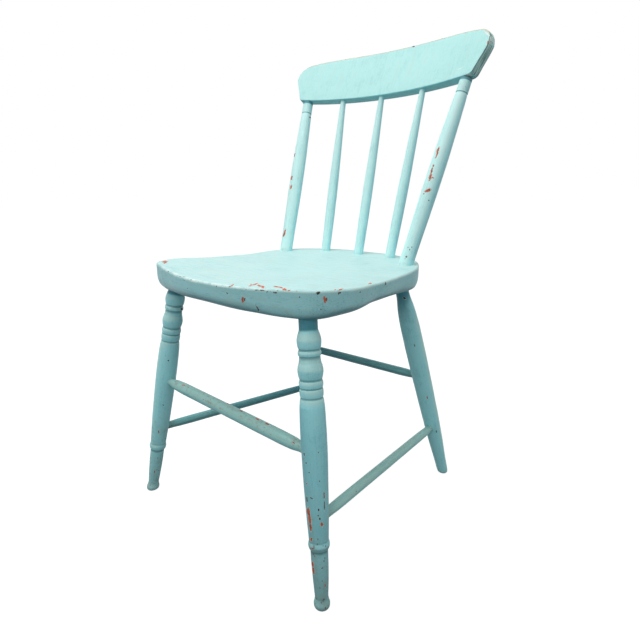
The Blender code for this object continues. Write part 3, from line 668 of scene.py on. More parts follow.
def profile_of(runs, length, real_length, rise, count):
    """Stations and radii down a leg: each run is a smooth curve, with a crease between it and the next. The
    pattern below the seat is raised by the rise, fading out towards the foot, and stretched to the length."""
    stations = []
    radii = []
    total = runs[-1][-1][0] - runs[0][0][0]
    for run in runs:
        rows = max(LEG_LEAST_ROWS, int(count * (run[-1][0] - run[0][0]) / total))
        places = np.linspace(run[0][0], run[-1][0], rows)
        stations.append(places)
        radii.append(smooth_curve(run, places))
    stations = np.concatenate(stations)
    radii = np.concatenate(radii)
    keep = np.concatenate([[True], np.diff(stations) > 1e-7])
    stations, radii = stations[keep], radii[keep]
    lift = np.where(stations > 0, rise * (1 - stations / length), 0.0)
    return (stations - lift) * real_length / length, radii


def hollows(stations, radii):
    """How much a profile is sunk below its own moving average: positive in grooves, negative on beads."""
    even = np.arange(stations[0], stations[-1], HOLLOW_REACH / HOLLOW_STEPS)
    level = np.interp(even, stations, radii)
    window = np.ones(HOLLOW_STEPS + 1) / (HOLLOW_STEPS + 1)
    padding = HOLLOW_STEPS // 2
    padded = np.concatenate([np.full(padding, level[0]), level, np.full(padding, level[-1])])
    smoothed = np.convolve(padded, window, "valid")
    return np.interp(stations, even, smoothed - level)


def dress(node, material, rings, fields):
    """Makes a finished piece and puts it on the chair in place of its solid."""
    piece = closed_surface(f"{node}_painted", rings, fields)
    piece.data.materials.append(material)
    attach(piece, "root")
    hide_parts(node)


def painted_light_and_shade(normals, painted_shade):
    """Painted light and shade: 1, painted light, where a surface faces up, 0 where it faces sideways, and
    down to -1, painted shade, where it faces down or lies in the given share of painted shade.
    """
    upward = normals[..., 2]
    faces_up = ramp(upward, TOP_LIGHT_FROM, TOP_LIGHT_FULL - TOP_LIGHT_FROM)
    faces_down = ramp(-upward, TOP_LIGHT_FULL, UNDERSIDE_SHADE_OVER)
    return faces_up * (1 - painted_shade) - np.maximum(painted_shade, faces_down)


def turned_fields(rings, grain, stations, radii, name, grime, painted_shade):
    """Attributes of a turned piece for its material, among them its painted light and shade, the wear and
    painted highlight on its beads and the painted shade in its grooves.
    """
    sunk = hollows(stations, radii)
    shape = rings.shape[:2]
    depth, bare = chips_on(rings, name)
    return {
        "grain": grain,
        "chip": depth,
        "bareness": bare,
        # Beads: worn paint with a painted highlight
        "wear_and_highlight": np.broadcast_to(ramp(-sunk, 0, BEAD_HEIGHT)[:, None] * BEAD_WEAR_AND_HIGHLIGHT, shape),
        "groove_shade_and_dirt": np.broadcast_to(ramp(sunk, 0, GROOVE_DEPTH)[:, None], shape),
        "grime": np.broadcast_to(np.clip(grime, 0, 1)[:, None], shape),
        # Painted light on faces that look up, painted shade on faces that look down and where given
        "painted_light_and_shade": painted_light_and_shade(outward_normals(rings), np.broadcast_to(painted_shade, (len(stations),))[:, None]),
    }


def make_leg(name, front, side, material, seed):
    """A leg: its profile turned about the axis, from just inside the seat to a sole level with the floor."""
    upper, lower = leg_axis(front, side)
    real_length = np.linalg.norm(lower - upper)
    runs = FRONT_LEG_RUNS if front else BACK_LEG_RUNS
    length = FRONT_LEG_LENGTH if front else BACK_LEG_LENGTH
    rows = FRONT_LEG_ROWS if front else BACK_LEG_ROWS
    rise = LEFT_PATTERN_RISE if front and side < 0 else 0.0
    stations, radii = profile_of(runs, length, real_length, rise, rows)
    stations = np.concatenate([[-LEG_HIDDEN], stations])
    radii = np.concatenate([radii[:1], radii])
    stations = np.concatenate([stations, np.full(len(SOLE_RINGS), stations[-1])])
    radii = np.concatenate([radii, radii[-1] * np.array(SOLE_RINGS)])
    rings, grain = turned_surface(upper, lower, stations, radii, LEG_COLUMNS, seed, True)
    rings[..., 2] = np.maximum(rings[..., 2], 0.0)
    near_floor = ramp(stations, real_length - LEG_DIRT_REACH, LEG_DIRT_REACH) * LEG_DIRT[name]
    # Painted shadow of the seat at the leg's top, and painted shade on the shaft
    darkest_at, lightest_at = SEAT_SHADOW_ON_LEGS[0 if front else 1]
    seat_shadow = 1 - ramp(stations, darkest_at, lightest_at - darkest_at)
    shaft = ramp(stations, SHAFT_START, SHAFT_BLEND) * SHAFT_SHADE.get(name, 0.0)
    painted_shade = np.maximum(seat_shadow, shaft)
    fields = turned_fields(rings, grain, stations, radii, name, near_floor, painted_shade)
    # Dirt darkens the sole's edge, with the tint of the painted shade in the grooves
    sole_edge = ramp(stations, real_length - SOLE_EDGE, SOLE_EDGE)
    fields["groove_shade_and_dirt"] = np.maximum(fields["groove_shade_and_dirt"], sole_edge[:, None])
    dress(name, material, rings, fields)


def point_down(front, side, down):
    """The point at a share of the way down a leg's axis."""
    upper, lower = leg_axis(front, side)
    return upper + (lower - upper) * down


def make_stretcher(name, material, seed):
    """A rail turned about the line between two legs' axes: tapered ends and a swell between them."""
    (start_front, start_side, start_down), (end_front, end_side, end_down), middle, tip = STRETCHERS[name]
    start = point_down(start_front, start_side, start_down)
    end = point_down(end_front, end_side, end_down)
    length = np.linalg.norm(end - start)
    half = [(STRETCHER_GAP_TO_AXIS, tip)]
    half += [(share * length, tip + swell * (middle - tip)) for share, swell in STRETCHER_RUN]
    knots = half + [(length - place, radius) for place, radius in reversed(half)]
    stations = np.linspace(knots[0][0], knots[-1][0], STRETCHER_ROWS)
    radii = smooth_curve(knots, stations)
    rings, grain = turned_surface(start, end, stations, radii, STRETCHER_COLUMNS, seed)
    ends = np.minimum(stations, length - stations)
    near_joint = 1 - ramp(ends, STRETCHER_JOINT, STRETCHER_JOINT_BLEND)
    grime = near_joint * STRETCHER_JOINT_DIRT + STRETCHER_DIRT
    # Painted shade along the far rails, changing from one leg to the other
    near_end, far_end = STRETCHER_SHADE[name]
    painted_shade = near_end + (far_end - near_end) * stations / length
    fields = turned_fields(rings, grain, stations, radii, name, grime, painted_shade)
    fields["wear_and_highlight"] = np.clip(fields["painted_light_and_shade"], 0, 1) * STRETCHER_WEAR.get(name, 0.0)
    dress(name, material, rings, fields)


# Crest rail

def crest_points(x, depth, rise):
    """Points of the crest rail. Its middle line is the parabola y = -bend * x * x; a point lies depth behind
    it along the line's normal, rise up the board, and the whole leans back by the lean."""
    slope = 2 * CREST_BEND * x
    stretch = np.hypot(1.0, slope)
    back = depth / stretch - CREST_BEND * x * x
    y = CREST_BASE[0] + back * math.cos(CREST_LEAN) + rise * math.sin(CREST_LEAN)
    z = CREST_BASE[1] - back * math.sin(CREST_LEAN) + rise * math.cos(CREST_LEAN)
    return np.stack([CREST_DRIFT + x + depth * slope / stretch, y, z], -1) + PLACE


def crest_underside(x):
    """Middle of the crest rail's underside at a place across the chair."""
    along = np.atleast_1d(x - CREST_DRIFT)
    return crest_points(along, np.zeros_like(along), smooth_curve(CREST_BOTTOM_LINE, np.abs(along)))[0]


def crest_section(low, high):
    """Depths and rises round the wedge section between two heights: up the front face, over the rounded top,
    down the back face and round the bottom. Faces are straight lines and roundings quarter circles. Rows run
    round the section, columns along the rail."""
    limit = (high - low) * CREST_MOST_ROUND
    top_round = np.minimum(CREST_TOP_ROUND, limit)
    bottom_round = np.minimum(CREST_BOTTOM_ROUND, limit)
    narrowing = (CREST_TOP_THICKNESS - CREST_BOTTOM_THICKNESS) / CREST_TOP_LINE[0][1]
    foot = low + bottom_round
    shoulder = high - top_round
    up = np.linspace(0, 1, CREST_FACE_ROWS)[:, None]
    face = foot * (1 - up) + shoulder * up
    quarter = np.linspace(0, np.pi / 2, CREST_ROUND_ROWS + 1)[:, None]

    def front(rise):
        """Depth of the front face: it slopes back evenly."""
        return rise * CREST_FACE_SLOPE - CREST_BOTTOM_THICKNESS / 2

    def back(rise):
        """Depth of the back face: the thickness narrows evenly upwards."""
        return front(rise) + CREST_BOTTOM_THICKNESS + narrowing * rise

    def rounding(side, inward, rise, radius, turns):
        """Quarter circle that leaves a face at a rise; a radius below 0 turns it downwards."""
        return side(rise) + inward * np.abs(radius) * (1 - np.cos(turns)), rise + radius * np.sin(turns)

    runs = (
        (front(face[:-1]), face[:-1]),
        rounding(front, 1, shoulder, top_round, quarter),
        rounding(back, -1, shoulder, top_round, quarter[::-1]),
        (back(face[-2::-1]), face[-2::-1]),
        rounding(back, -1, foot, -bottom_round, quarter[1:]),
        rounding(front, 1, foot, -bottom_round, quarter[:0:-1]),
    )
    return np.concatenate([run[0] for run in runs]), np.concatenate([run[1] for run in runs])


def make_crest(material):
    """The crest rail: the wedge section carried along the bent middle line, at x = half width * sin of an
    even spread from -90 to 90 degrees, so that the stations are closer at its slanted ends."""
    spread = np.linspace(-np.pi / 2, np.pi / 2, CREST_COLUMNS)
    x = np.sin(spread) * CREST_HALF_WIDTH
    low = smooth_curve(CREST_BOTTOM_LINE, np.abs(x))
    high = smooth_curve(CREST_TOP_LINE, np.abs(x))
    depths, rises = crest_section(low, high)
    across = np.broadcast_to(x, depths.shape)
    rings = crest_points(across, depths, rises).transpose(1, 0, 2)
    normals = outward_normals(rings)
    rings = under_coat(rings, normals, CREST_RIPPLE, CREST_SEED)
    depths, rises = depths.T, rises.T
    along = np.broadcast_to(x[:, None], depths.shape)
    steps = np.linalg.norm(np.diff(rings, axis=1), axis=-1)
    walked = np.concatenate([np.zeros((len(x), 1)), np.cumsum(steps, axis=1)], axis=1)
    top_column = CREST_FACE_ROWS - 1 + CREST_ROUND_ROWS
    from_top = walked[:, top_column:top_column + 1] - walked
    depth, bare = chips_on(rings, "crest_rail")
    fields = {
        "grain": np.stack([depths, along, rises], -1),
        "chip": depth,
        "bareness": bare,
        "wear_and_highlight": np.clip(CREST_WORN_STRENGTH - np.abs(from_top - CREST_WORN_MIDDLE) / CREST_WORN_EDGE, 0, 1),
        "sawn": ramp(np.abs(normals[..., 0]), SAWN_FROM, SAWN_BLEND),
        # Painted light on the rail's top and painted shade below it, held lighter on the underside
        "painted_light_and_shade": np.maximum(painted_light_and_shade(normals, 0.0), -CREST_UNDERSIDE_SHADE),
    }
    dress("crest_rail", material, rings, fields)


# Seat

def seat_rim(degrees):
    """Height of the rim by the angle about the seat's centre."""
    return SEAT_HEIGHT + mirrored_curve(SEAT_RIM_RISE, degrees)


def dish_height(share, rim):
    """Height of the dish at a share of the way out: a smooth step from its floor up to the rim."""
    floor = SEAT_HEIGHT - SEAT_DISH
    return floor + (rim - floor) * share * share * (3 - 2 * share)


def seat_top_height(x, y):
    """Height of the dished top at a place on the seat."""
    degrees = math.degrees(math.atan2(y - SEAT_CENTRE_Y, x))
    share = math.hypot(x, y - SEAT_CENTRE_Y) / (mirrored_curve(SEAT_OUTLINE, degrees) - SEAT_EDGE_ROLL)
    return float(dish_height(share, seat_rim(degrees)))


def make_seat(material):
    """The saddled plank: each ring is the outline by angle, times a share or less an inset, at its own
    height. The rings run from the middle of the dish up its smooth step, over a quarter circle at the rim,
    straight down the edge, in along a quarter ellipse to the underside and on to its middle."""
    turns = np.linspace(-np.pi, np.pi, SEAT_COLUMNS, endpoint=False)
    degrees = np.degrees(turns - SEAT_CROWDING * np.sin(turns)) - 90
    outline = mirrored_curve(SEAT_OUTLINE, degrees)
    undercut = mirrored_curve(SEAT_UNDERCUT, degrees)
    rim = seat_rim(degrees)
    underside = SEAT_HEIGHT - SEAT_THICKNESS
    reaches, heights = [], []
    for share in 1 - np.linspace(SEAT_TOP_START, 0, SEAT_TOP_RINGS) ** SEAT_RIM_CROWDING:
        reaches.append((outline - SEAT_EDGE_ROLL) * share)
        heights.append(dish_height(share, rim))
    for turn in np.linspace(0, np.pi / 2, SEAT_ROLL_RINGS + 1)[1:]:
        reaches.append(outline - SEAT_EDGE_ROLL * (1 - math.sin(turn)))
        heights.append(rim - SEAT_EDGE_ROLL * (1 - math.cos(turn)))
    curve_height = SEAT_THICKNESS - SEAT_UPRIGHT
    upper_edge = rim - SEAT_EDGE_ROLL
    lower_edge = underside + curve_height
    for share in np.linspace(0, 1, SEAT_EDGE_RINGS + 1)[1:]:
        reaches.append(outline)
        heights.append(upper_edge * (1 - share) + lower_edge * share)
    for turn in np.linspace(0, np.pi / 2, SEAT_UNDERCUT_RINGS + 1)[1:]:
        reaches.append(outline - undercut * (1 - math.cos(turn)))
        heights.append(np.full_like(outline, underside + curve_height * (1 - math.sin(turn))))
    for share in np.linspace(1, SEAT_UNDERSIDE_END, SEAT_UNDERSIDE_RINGS)[1:]:
        reaches.append((outline - undercut) * share)
        heights.append(np.full_like(outline, underside))
    reaches = np.array(reaches)
    heights = np.array(heights)
    radians = np.radians(degrees)
    across = reaches * np.cos(radians)
    rings = np.stack([across, SEAT_CENTRE_Y + reaches * np.sin(radians), heights], -1)
    steps = np.linalg.norm(np.diff(rings, axis=0), axis=-1)
    down = np.concatenate([np.zeros((1, SEAT_COLUMNS)), np.cumsum(steps, axis=0)])
    rim_row = SEAT_TOP_RINGS + SEAT_ROLL_RINGS // 2
    down = down - down[rim_row]
    rings = rings + PLACE
    normals = outward_normals(rings)
    rings = under_coat(rings, normals, SEAT_RIPPLE, SEAT_SEED)
    facing_front = np.clip(-np.sin(radians), 0, 1)
    near_rim = 1 - ramp(np.abs(down + SEAT_RIM_BAND_ABOVE), 0, SEAT_RIM_BAND_REACH)
    depth, bare = chips_on(rings, "seat")
    fields = {
        "grain": np.stack([rings[..., 1], rings[..., 2], rings[..., 0]], -1),
        "chip": depth,
        "bareness": bare,
        # Band round the rim: rubbed paint with a painted highlight, strongest in front
        "wear_and_highlight": near_rim * (SEAT_RIM_BAND_BACK + SEAT_RIM_BAND_FRONT * facing_front ** 2),
        "grime": ramp(down, SEAT_DIRT_FROM, SEAT_DIRT_BLEND) * SEAT_DIRT,
        # Painted light on the top and painted shade on the underside
        "painted_light_and_shade": painted_light_and_shade(normals, 0.0),
    }
    dress("seat", material, rings, fields)


# Back posts and spindles

def rod_axis(x, y, top_x):
    """Ends of a post's or a spindle's axis: on the dished seat and at the crest rail's underside."""
    return np.array((x, y, seat_top_height(x, y))) + PLACE, crest_underside(top_x)


def make_post(word, material, seed):
    """An outer post, turned about its axis: a swelling taper, then a quarter circle out to a collar, which
    fits the crest rail's underside. Past it the rings are drawn in towards the axis, to stay in the rail."""
    name = f"back_post_{word}"
    side = SIDES[word]
    base_drift, top_drift = POST_DRIFT
    base, top = rod_axis(side * POST_BASE[0] + base_drift, POST_BASE[1], side * POST_TOP_X + top_drift)
    length = np.linalg.norm(top - base)
    places = np.linspace(0, POST_RUN[-1][0], POST_ROWS)
    stations = places * length
    radii = smooth_curve(POST_RUN, places)
    shoulder = stations[-1]
    neck = radii[-1]
    lip = np.linspace(0, np.pi / 2, POST_LIP_ROWS)[1:]
    stations = np.concatenate([
        [-ROD_HIDDEN], stations, shoulder + POST_COLLAR_LIP * 2 * np.sin(lip),
        np.linspace(shoulder + POST_COLLAR_LIP * 3, length + ROD_HIDDEN, COLLAR_ROWS)])
    radii = np.concatenate([
        radii[:1], radii, neck + (POST_COLLAR_RADIUS - neck) * (1 - np.cos(lip)),
        np.full(COLLAR_ROWS, POST_COLLAR_RADIUS)])
    rings, grain = turned_surface(base, top, stations, radii, POST_COLUMNS, seed)
    middles = base + stations[:, None] * (top - base) / length
    rings = rings + (middles[:, None, :] - rings) * (stations[:, None, None] > length) * ROD_TUCK
    joints = 1 - ramp(stations, 0, ROD_JOINT) + ramp(stations, length - POST_TOP_JOINT, POST_TOP_JOINT)
    # Painted shadow line where the post meets the crest rail
    painted_shade = ramp(stations, length - POST_GAP, POST_GAP_BLEND)
    dirt = joints * JOINT_DIRT + ramp(stations, shoulder, COLLAR_DIRT_BLEND) * COLLAR_DIRT
    fields = turned_fields(rings, grain, stations, radii, name, dirt, painted_shade)
    # Painted shade line round the collar's shoulder
    line = np.clip(POST_LINE_STRENGTH - np.abs(stations - shoulder - POST_COLLAR_LIP) / POST_LINE, 0, 1)
    fields["groove_shade_and_dirt"] = np.broadcast_to(line[:, None], rings.shape[:2])
    dress(name, material, rings, fields)


def make_spindle(word, material, seed):
    """A thin spindle, turned about its axis: a slender swelling taper from the seat into the crest rail."""
    name = f"spindle_{word}"
    x, y = SPINDLE_BASES[word]
    base, top = rod_axis(x, y, x * SPINDLE_TOP_SPREAD)
    length = np.linalg.norm(top - base)
    places = np.linspace(-ROD_HIDDEN / length, 1 + ROD_HIDDEN / length, SPINDLE_ROWS)
    stations = places * length
    radii = smooth_curve(SPINDLE_RUN, places)
    rings, grain = turned_surface(base, top, stations, radii, SPINDLE_COLUMNS, seed)
    joints = 1 - ramp(stations, 0, ROD_JOINT) + ramp(stations, length - ROD_JOINT, ROD_JOINT)
    fields = turned_fields(rings, grain, stations, radii, name, joints * JOINT_DIRT, 0.0)
    dress(name, material, rings, fields)


# Materials

class Wire:
    """A socket with arithmetic: an expression on wires adds its Math nodes."""

    def __init__(self, graph, socket):
        self.graph = graph
        self.socket = socket

    def maths(self, operation, *values):
        """Adds one Math node."""
        return self.graph.node("ShaderNodeMath", {"operation": operation}, dict(enumerate(values)))

    def __add__(self, other):
        return self.maths("ADD", self, other)

    __radd__ = __add__

    def __sub__(self, other):
        return self.maths("SUBTRACT", self, other)

    def __rsub__(self, other):
        return self.maths("SUBTRACT", other, self)

    def __mul__(self, other):
        return self.maths("MULTIPLY", self, other)

    __rmul__ = __mul__

    def larger(self, other):
        return self.maths("MAXIMUM", self, other)

    def swing(self, share):
        """Noise moved so that it varies about 0, times a share."""
        return (self - NOISE_MIDDLE) * share

    def between(self, low, high):
        """0 below low, 1 above high and a smooth step between them; low above high turns it round."""
        if low < high:
            return self.graph.node("ShaderNodeMapRange", {"interpolation_type": "SMOOTHSTEP"},
                                   {"Value": self, "From Min": low, "From Max": high})
        return 1 - self.between(high, low)


class Graph:
    """Node tree of a material or of the world."""

    def __init__(self, owner):
        owner.use_nodes = True
        self.owner = owner
        self.tree = owner.node_tree
        self.tree.nodes.clear()

    def node(self, kind, settings=None, inputs=None, output=0):
        """Adds a node, sets it and joins or sets its inputs. Every node of the script comes from here."""
        made = self.tree.nodes.new(kind)
        for name, value in (settings or {}).items():
            setattr(made, name, value)
        for name, value in (inputs or {}).items():
            if isinstance(value, Wire):
                self.tree.links.new(value.socket, made.inputs[name])
            else:
                made.inputs[name].default_value = value
        return None if output is None else Wire(self, made.outputs[output])

    def field(self, name, output="Fac"):
        return self.node("ShaderNodeAttribute", {"attribute_name": name}, output=output)

    def stretched(self, vector, scale):
        return self.node("ShaderNodeMapping", {}, {"Vector": vector, "Scale": scale})

    def noise(self, vector, scale, detail, roughness):
        return self.node("ShaderNodeTexNoise", {}, {
            "Vector": vector, "Scale": scale, "Detail": detail, "Roughness": roughness})

    def brush_noise(self, grain, scale, along_grain, roughness):
        """Noise drawn out along the grain."""
        return self.noise(self.stretched(grain, (1.0, 1.0, along_grain)), scale, 3.0, roughness)

    def mix(self, share, first, second, blend="MIX"):
        return self.node("ShaderNodeMix", {"data_type": "RGBA", "blend_type": blend},
                         {0: share, 6: first, 7: second}, output=2)

    def multiply(self, share, first, second):
        return self.mix(share, first, second, "MULTIPLY")

    def spots(self, vector, scale, radius, share):
        """Round spots of a radius, as a share of the cell, in a share of the cells."""
        inputs = {"Vector": vector, "Scale": scale}
        away = self.node("ShaderNodeTexVoronoi", {}, inputs)
        cell = self.node("ShaderNodeTexVoronoi", {}, inputs, output="Color")
        chosen = self.node("ShaderNodeSeparateColor", {}, {"Color": cell}).between(share, share - 0.01)
        return away.between(radius, radius * 0.6) * chosen

    def seen_directly(self):
        """1 on rays from the camera and on mirror rays, 0 on the rays that light the chair."""
        return self.node("ShaderNodeLightPath", output="Is Camera Ray").larger(
            self.node("ShaderNodeLightPath", output="Is Glossy Ray"))

    def finish(self, surface, output="ShaderNodeOutputMaterial"):
        self.node(output, {}, {"Surface": surface}, output=None)
        return self.owner


def colour(values, tint=(1.0, 1.0, 1.0)):
    """A colour, tinted, with its fourth channel."""
    return (*(value * share for value, share in zip(values, tint)), 1.0)


def chipped_paint(name, paint, tint=(1.0, 1.0, 1.0), dirt=0.0, warmth=0.1, brush=1.0, ragged_by=1.5,
                  worn=None, end_grain=False):
    """Brushed paint over orange-red undercoat and old wood, with painted light on faces that look up and
    painted shade where shade falls.
    Chips come from the piece's own fields, broken up by noise, and rub marks, partly painted highlight, from
    its beads and edges; painted shade darkens the grooves."""
    graph = Graph(bpy.data.materials.new(name))
    grain = graph.field("grain", "Vector")
    painted_light_and_shade = graph.field("painted_light_and_shade")
    painted_top_light = painted_light_and_shade.between(0.0, 1.0)
    hair, strokes, streaks = (graph.brush_noise(grain, *settings) for settings in (HAIRS, STROKES, STREAKS))
    clouds, mottle, ragged = (graph.noise(grain, *settings) for settings in (CLOUDS, MOTTLE, RAGGED))
    scuff_and_highlight, wood = colour(paint.scuff_and_highlight), colour(paint.wood)

    # Sound paint: painted light on faces that look up, painted shade where the shade falls, washed lighter
    # and darker by the brush, with whitish scuffs stronger in the painted light
    tone = graph.mix(painted_top_light, colour(paint.side_lit_paint, tint), colour(paint.top_lit_paint, tint))
    tone = graph.mix((0 - painted_light_and_shade).between(0.0, 1.0), tone, colour(paint.shade, tint))
    hair_share, stroke_share, streak_share = BRUSH_SHARES
    brushed = (hair.swing(hair_share) + strokes.swing(stroke_share) + streaks.swing(streak_share)) * brush
    wash = clouds.swing(0.8) + mottle.swing(0.7) + ragged.swing(0.7) + brushed
    tone = graph.mix(wash.between(*SCUFF_SPAN) * (0.15 + painted_top_light * 0.3), tone, scuff_and_highlight)
    tone = graph.multiply((0 - wash).between(*DARK_SPAN) * (0.9 - painted_top_light * 0.35), tone, DARK_TINT)
    tone = graph.multiply((streaks + mottle.swing(0.6)).between(*WARM_SPAN) * warmth, tone, WARM_TINT)

    # Dirt, painted shade in the grooves, and rub marks that are worn paint and painted highlight
    film = graph.field("grime") + clouds.swing(0.9) + mottle.swing(0.9) + brushed * 0.5 + dirt
    film = film.between(*FILM_SPAN)
    tone = graph.mix(film * FILM_STRENGTH, tone, colour(paint.grime))
    groove_shade_and_dirt = (graph.field("groove_shade_and_dirt") + mottle.swing(0.6)).between(*GROOVE_SPAN)
    tone = graph.multiply(groove_shade_and_dirt * GROOVE_STRENGTH, tone, GROOVE_SHADE_AND_DIRT_TINT)
    raw_wear_and_highlight = graph.field("wear_and_highlight") + mottle.swing(1.2) + ragged.swing(0.8) + brushed * 0.3
    wear_and_highlight = raw_wear_and_highlight.between(*WEAR_AND_HIGHLIGHT_SPAN)
    tone = graph.mix(wear_and_highlight * WEAR_AND_HIGHLIGHT_STRENGTH, tone, colour(worn or paint.scuff_and_highlight))
    if end_grain:
        lines = graph.noise(graph.stretched(grain, (1.0, 0.06, 0.06)), *SAWN_LINES)
        sawn = graph.mix(lines.between(0.36, 0.62), SAWN_DARK, SAWN_PALE)
        tone = graph.mix(graph.field("sawn").between(*SAWN_SPAN) * SAWN_STRENGTH, tone, sawn)

    # Chips with their pale lips, undercoat and wood inside them, specks and flecks
    chip = graph.field("chip") + ragged.swing(ragged_by) + mottle.swing(0.5)
    chipped = chip.between(*CHIP_SPAN)
    lip = chip.between(*LIP_SPAN) * (1 - chipped)
    bareness = graph.field("bareness")
    bare = (bareness + ragged.swing(1.6)).between(*BARE_SPAN)
    scratched = (0 - bareness).between(*SCRATCH_SPAN)
    tone = graph.mix(lip * LIP_STRENGTH, tone, scuff_and_highlight)
    undercoat = graph.multiply(mottle.between(0.45, 0.62) * 0.6, colour(paint.undercoat), UNDERCOAT_TINT)
    below = graph.mix(bare, undercoat, wood)
    tone = graph.mix(chipped, tone, graph.mix(scratched, below, scuff_and_highlight))
    specks = graph.spots(grain, *SPECKS) * (ragged + 0.2)
    tone = graph.mix(specks, tone, wood)
    flecks = graph.spots(graph.stretched(grain, (1.0, 1.0, 0.5)), *FLECKS)
    flecks = flecks * (film.between(0.12, 0.5) + graph.field("wear_and_highlight") * 0.4) * clouds.between(0.4, 0.62)
    fleck_colour = graph.mix(ragged.between(0.45, 0.55) * 0.3, wood, undercoat)
    tone = graph.mix(flecks.between(*FLECK_SPAN) * FLECK_STRENGTH, tone, fleck_colour)

    roughness = paint.roughness + clouds.swing(0.15) + film * 0.2 + chipped * 0.3 + wear_and_highlight * 0.1
    height = hair * 0.25 + strokes * 0.4 + streaks * 0.4 + mottle * 0.25
    height = height - chipped * 1.3 + lip * 0.3 - specks * 0.6
    bump = graph.node("ShaderNodeBump", {}, {
        "Strength": BUMP_STRENGTH, "Distance": BUMP_DEPTH, "Height": height})
    return graph.finish(graph.node("ShaderNodeBsdfPrincipled", {}, {
        "Base Color": tone, "Roughness": roughness, "Normal": bump, "Specular IOR Level": SPECULAR}))


def floor_material():
    """Pale matt floor that the camera sees as white, with the chair's soft shadow on it."""
    graph = Graph(bpy.data.materials.new("pale_floor"))
    matt = graph.node("ShaderNodeBsdfDiffuse", {}, {"Color": FLOOR_GREY})
    glow = graph.node("ShaderNodeEmission", {}, {"Color": WHITE, "Strength": FLOOR_GLOW})
    seen = graph.node("ShaderNodeAddShader", {}, {0: matt, 1: glow})
    return graph.finish(graph.node("ShaderNodeMixShader", {}, {0: graph.seen_directly(), 1: matt, 2: seen}))


def white_world(ambient):
    """White surroundings that light the chair evenly from all round and look pure white themselves."""
    graph = Graph(bpy.data.worlds.new("surroundings"))
    strength = graph.node("ShaderNodeMapRange", {}, {
        "Value": graph.seen_directly(), "To Min": ambient, "To Max": 1.0})
    background = graph.node("ShaderNodeBackground", {}, {"Color": WHITE, "Strength": strength})
    return graph.finish(background, "ShaderNodeOutputWorld")


# Operators

class CHAIR_OT_seat(bpy.types.Operator):
    """Makes the saddled plank seat."""
    bl_idname = "chair.seat"
    bl_label = "Seat"

    def execute(self, context):
        make_seat(chipped_paint("seat_paint", context.scene.chair_paint,
                                tint=(0.88, 0.89, 0.90), warmth=0.5, ragged_by=3.2))
        return {"FINISHED"}


class CHAIR_OT_legs(bpy.types.Operator):
    """Makes the two turned front legs and the two plain back legs."""
    bl_idname = "chair.legs"
    bl_label = "Legs"

    def execute(self, context):
        material = chipped_paint("leg_paint", context.scene.chair_paint,
                                 tint=(0.93, 1.05, 1.07), warmth=0.25, brush=0.45, ragged_by=1.4)
        names = [(place, word) for place in ("front", "back") for word in SIDES]
        for seed, (place, word) in enumerate(names, LEG_FIRST_SEED):
            make_leg(f"{place}_leg_{word}", place == "front", SIDES[word], material, seed)
        return {"FINISHED"}


class CHAIR_OT_stretchers(bpy.types.Operator):
    """Makes the four stretchers."""
    bl_idname = "chair.stretchers"
    bl_label = "Stretchers"

    def execute(self, context):
        material = chipped_paint("stretcher_paint", context.scene.chair_paint,
                                 tint=(0.67, 0.80, 0.77), dirt=0.1, worn=(0.27, 0.19, 0.11))
        for seed, name in enumerate(STRETCHERS, STRETCHER_FIRST_SEED):
            make_stretcher(name, material, seed)
        return {"FINISHED"}


class CHAIR_OT_back(bpy.types.Operator):
    """Makes the posts and spindles of the back."""
    bl_idname = "chair.back"
    bl_label = "Posts and spindles"

    def execute(self, context):
        # The back's paint is tinted lighter than the rest: painted light on the posts and spindles
        material = chipped_paint("back_paint", context.scene.chair_paint,
                                 tint=(1.15, 1.15, 1.16), ragged_by=2.6)
        for seed, word in enumerate(SIDES, POST_FIRST_SEED):
            make_post(word, material, seed)
        for seed, word in enumerate(SPINDLE_BASES, SPINDLE_FIRST_SEED):
            make_spindle(word, material, seed)
        return {"FINISHED"}


class CHAIR_OT_crest(bpy.types.Operator):
    """Makes the bent crest rail."""
    bl_idname = "chair.crest"
    bl_label = "Crest rail"

    def execute(self, context):
        make_crest(chipped_paint(
            "crest_paint", context.scene.chair_paint, tint=(0.84, 0.97, 0.97), warmth=0.3, brush=0.5,
            ragged_by=2.2, worn=(0.52, 0.38, 0.22), end_grain=True))
        return {"FINISHED"}


def face(made, place, aim):
    """Stands an object at a place and turns it to face a point."""
    made.location = place
    made.rotation_mode = "QUATERNION"
    made.rotation_quaternion = (Vector(aim) - Vector(place)).to_track_quat("-Z", "Y")


def area_light(name, place, aim, size, power):
    """A soft round light."""
    lamp = bpy.data.lights.new(name, "AREA")
    lamp.shape = "DISK"
    lamp.size = size
    lamp.energy = power
    face(add_object(name, lamp), place, aim)


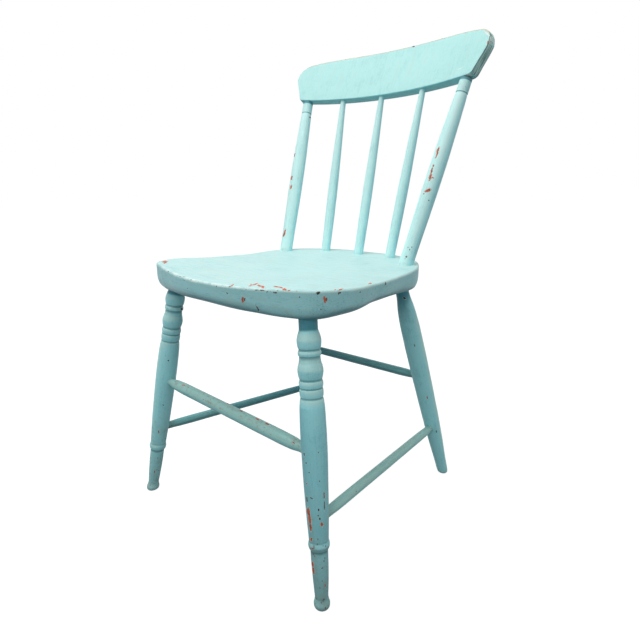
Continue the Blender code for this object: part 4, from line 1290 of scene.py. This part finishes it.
class CHAIR_OT_studio(bpy.types.Operator):
    """Makes the floor, the soft lights, the surroundings and the camera."""
    bl_idname = "chair.studio"
    bl_label = "Studio"

    def execute(self, context):
        studio = context.scene.chair_studio
        half = studio.floor_size / 2
        mesh = bpy.data.meshes.new("floor")
        corners = ((-half, -half, 0.0), (half, -half, 0.0), (half, half, 0.0), (-half, half, 0.0))
        mesh.from_pydata(corners, [], [(0, 1, 2, 3)])
        mesh.materials.append(floor_material())
        floor = add_object("floor", mesh)
        area_light("overhead_light", *OVERHEAD_LIGHT, studio.overhead)
        area_light("front_light", *FRONT_LIGHT, studio.front)
        context.scene.world = white_world(studio.ambient)
        lens = bpy.data.cameras.new("camera")
        lens.sensor_width = SENSOR_WIDTH
        lens.lens = FOCAL_PIXELS * SENSOR_WIDTH / PHOTO_SIZE
        lens.clip_start = 0.01
        camera = add_object("camera", lens)
        face(camera, Vector(PLACE + CAMERA_PLACE), Vector(PLACE + CAMERA_AIM))
        context.scene.camera = camera
        context.scene.view_settings.view_transform = "Standard"
        return {"FINISHED"}


class CHAIR_PT_panel(bpy.types.Panel):
    """Lists the pieces of the chair."""
    bl_label = "Painted chair"
    bl_idname = "CHAIR_PT_panel"
    bl_space_type = "VIEW_3D"
    bl_region_type = "UI"
    bl_category = "Painted chair"

    def draw(self, context):
        for operator in OPERATORS:
            self.layout.operator(operator.bl_idname)
        for settings in (context.scene.chair_paint, context.scene.chair_studio):
            for name in settings.__annotations__:
                self.layout.prop(settings, name)


OPERATORS = (
    CHAIR_OT_seat, CHAIR_OT_legs, CHAIR_OT_stretchers, CHAIR_OT_back, CHAIR_OT_crest, CHAIR_OT_studio,
)
CLASSES = (ChairPaint, ChairStudio, *OPERATORS, CHAIR_PT_panel)


def register():
    for made in CLASSES:
        bpy.utils.register_class(made)
    bpy.types.Scene.chair_paint = PointerProperty(type=ChairPaint)
    bpy.types.Scene.chair_studio = PointerProperty(type=ChairStudio)


def unregister():
    del bpy.types.Scene.chair_studio
    del bpy.types.Scene.chair_paint
    for made in reversed(CLASSES):
        bpy.utils.unregister_class(made)


def main():
    register()
    bpy.ops.chair.seat()
    bpy.ops.chair.legs()
    bpy.ops.chair.stretchers()
    bpy.ops.chair.back()
    bpy.ops.chair.crest()
    bpy.ops.chair.studio()


if __name__ == "__main__":
    main()
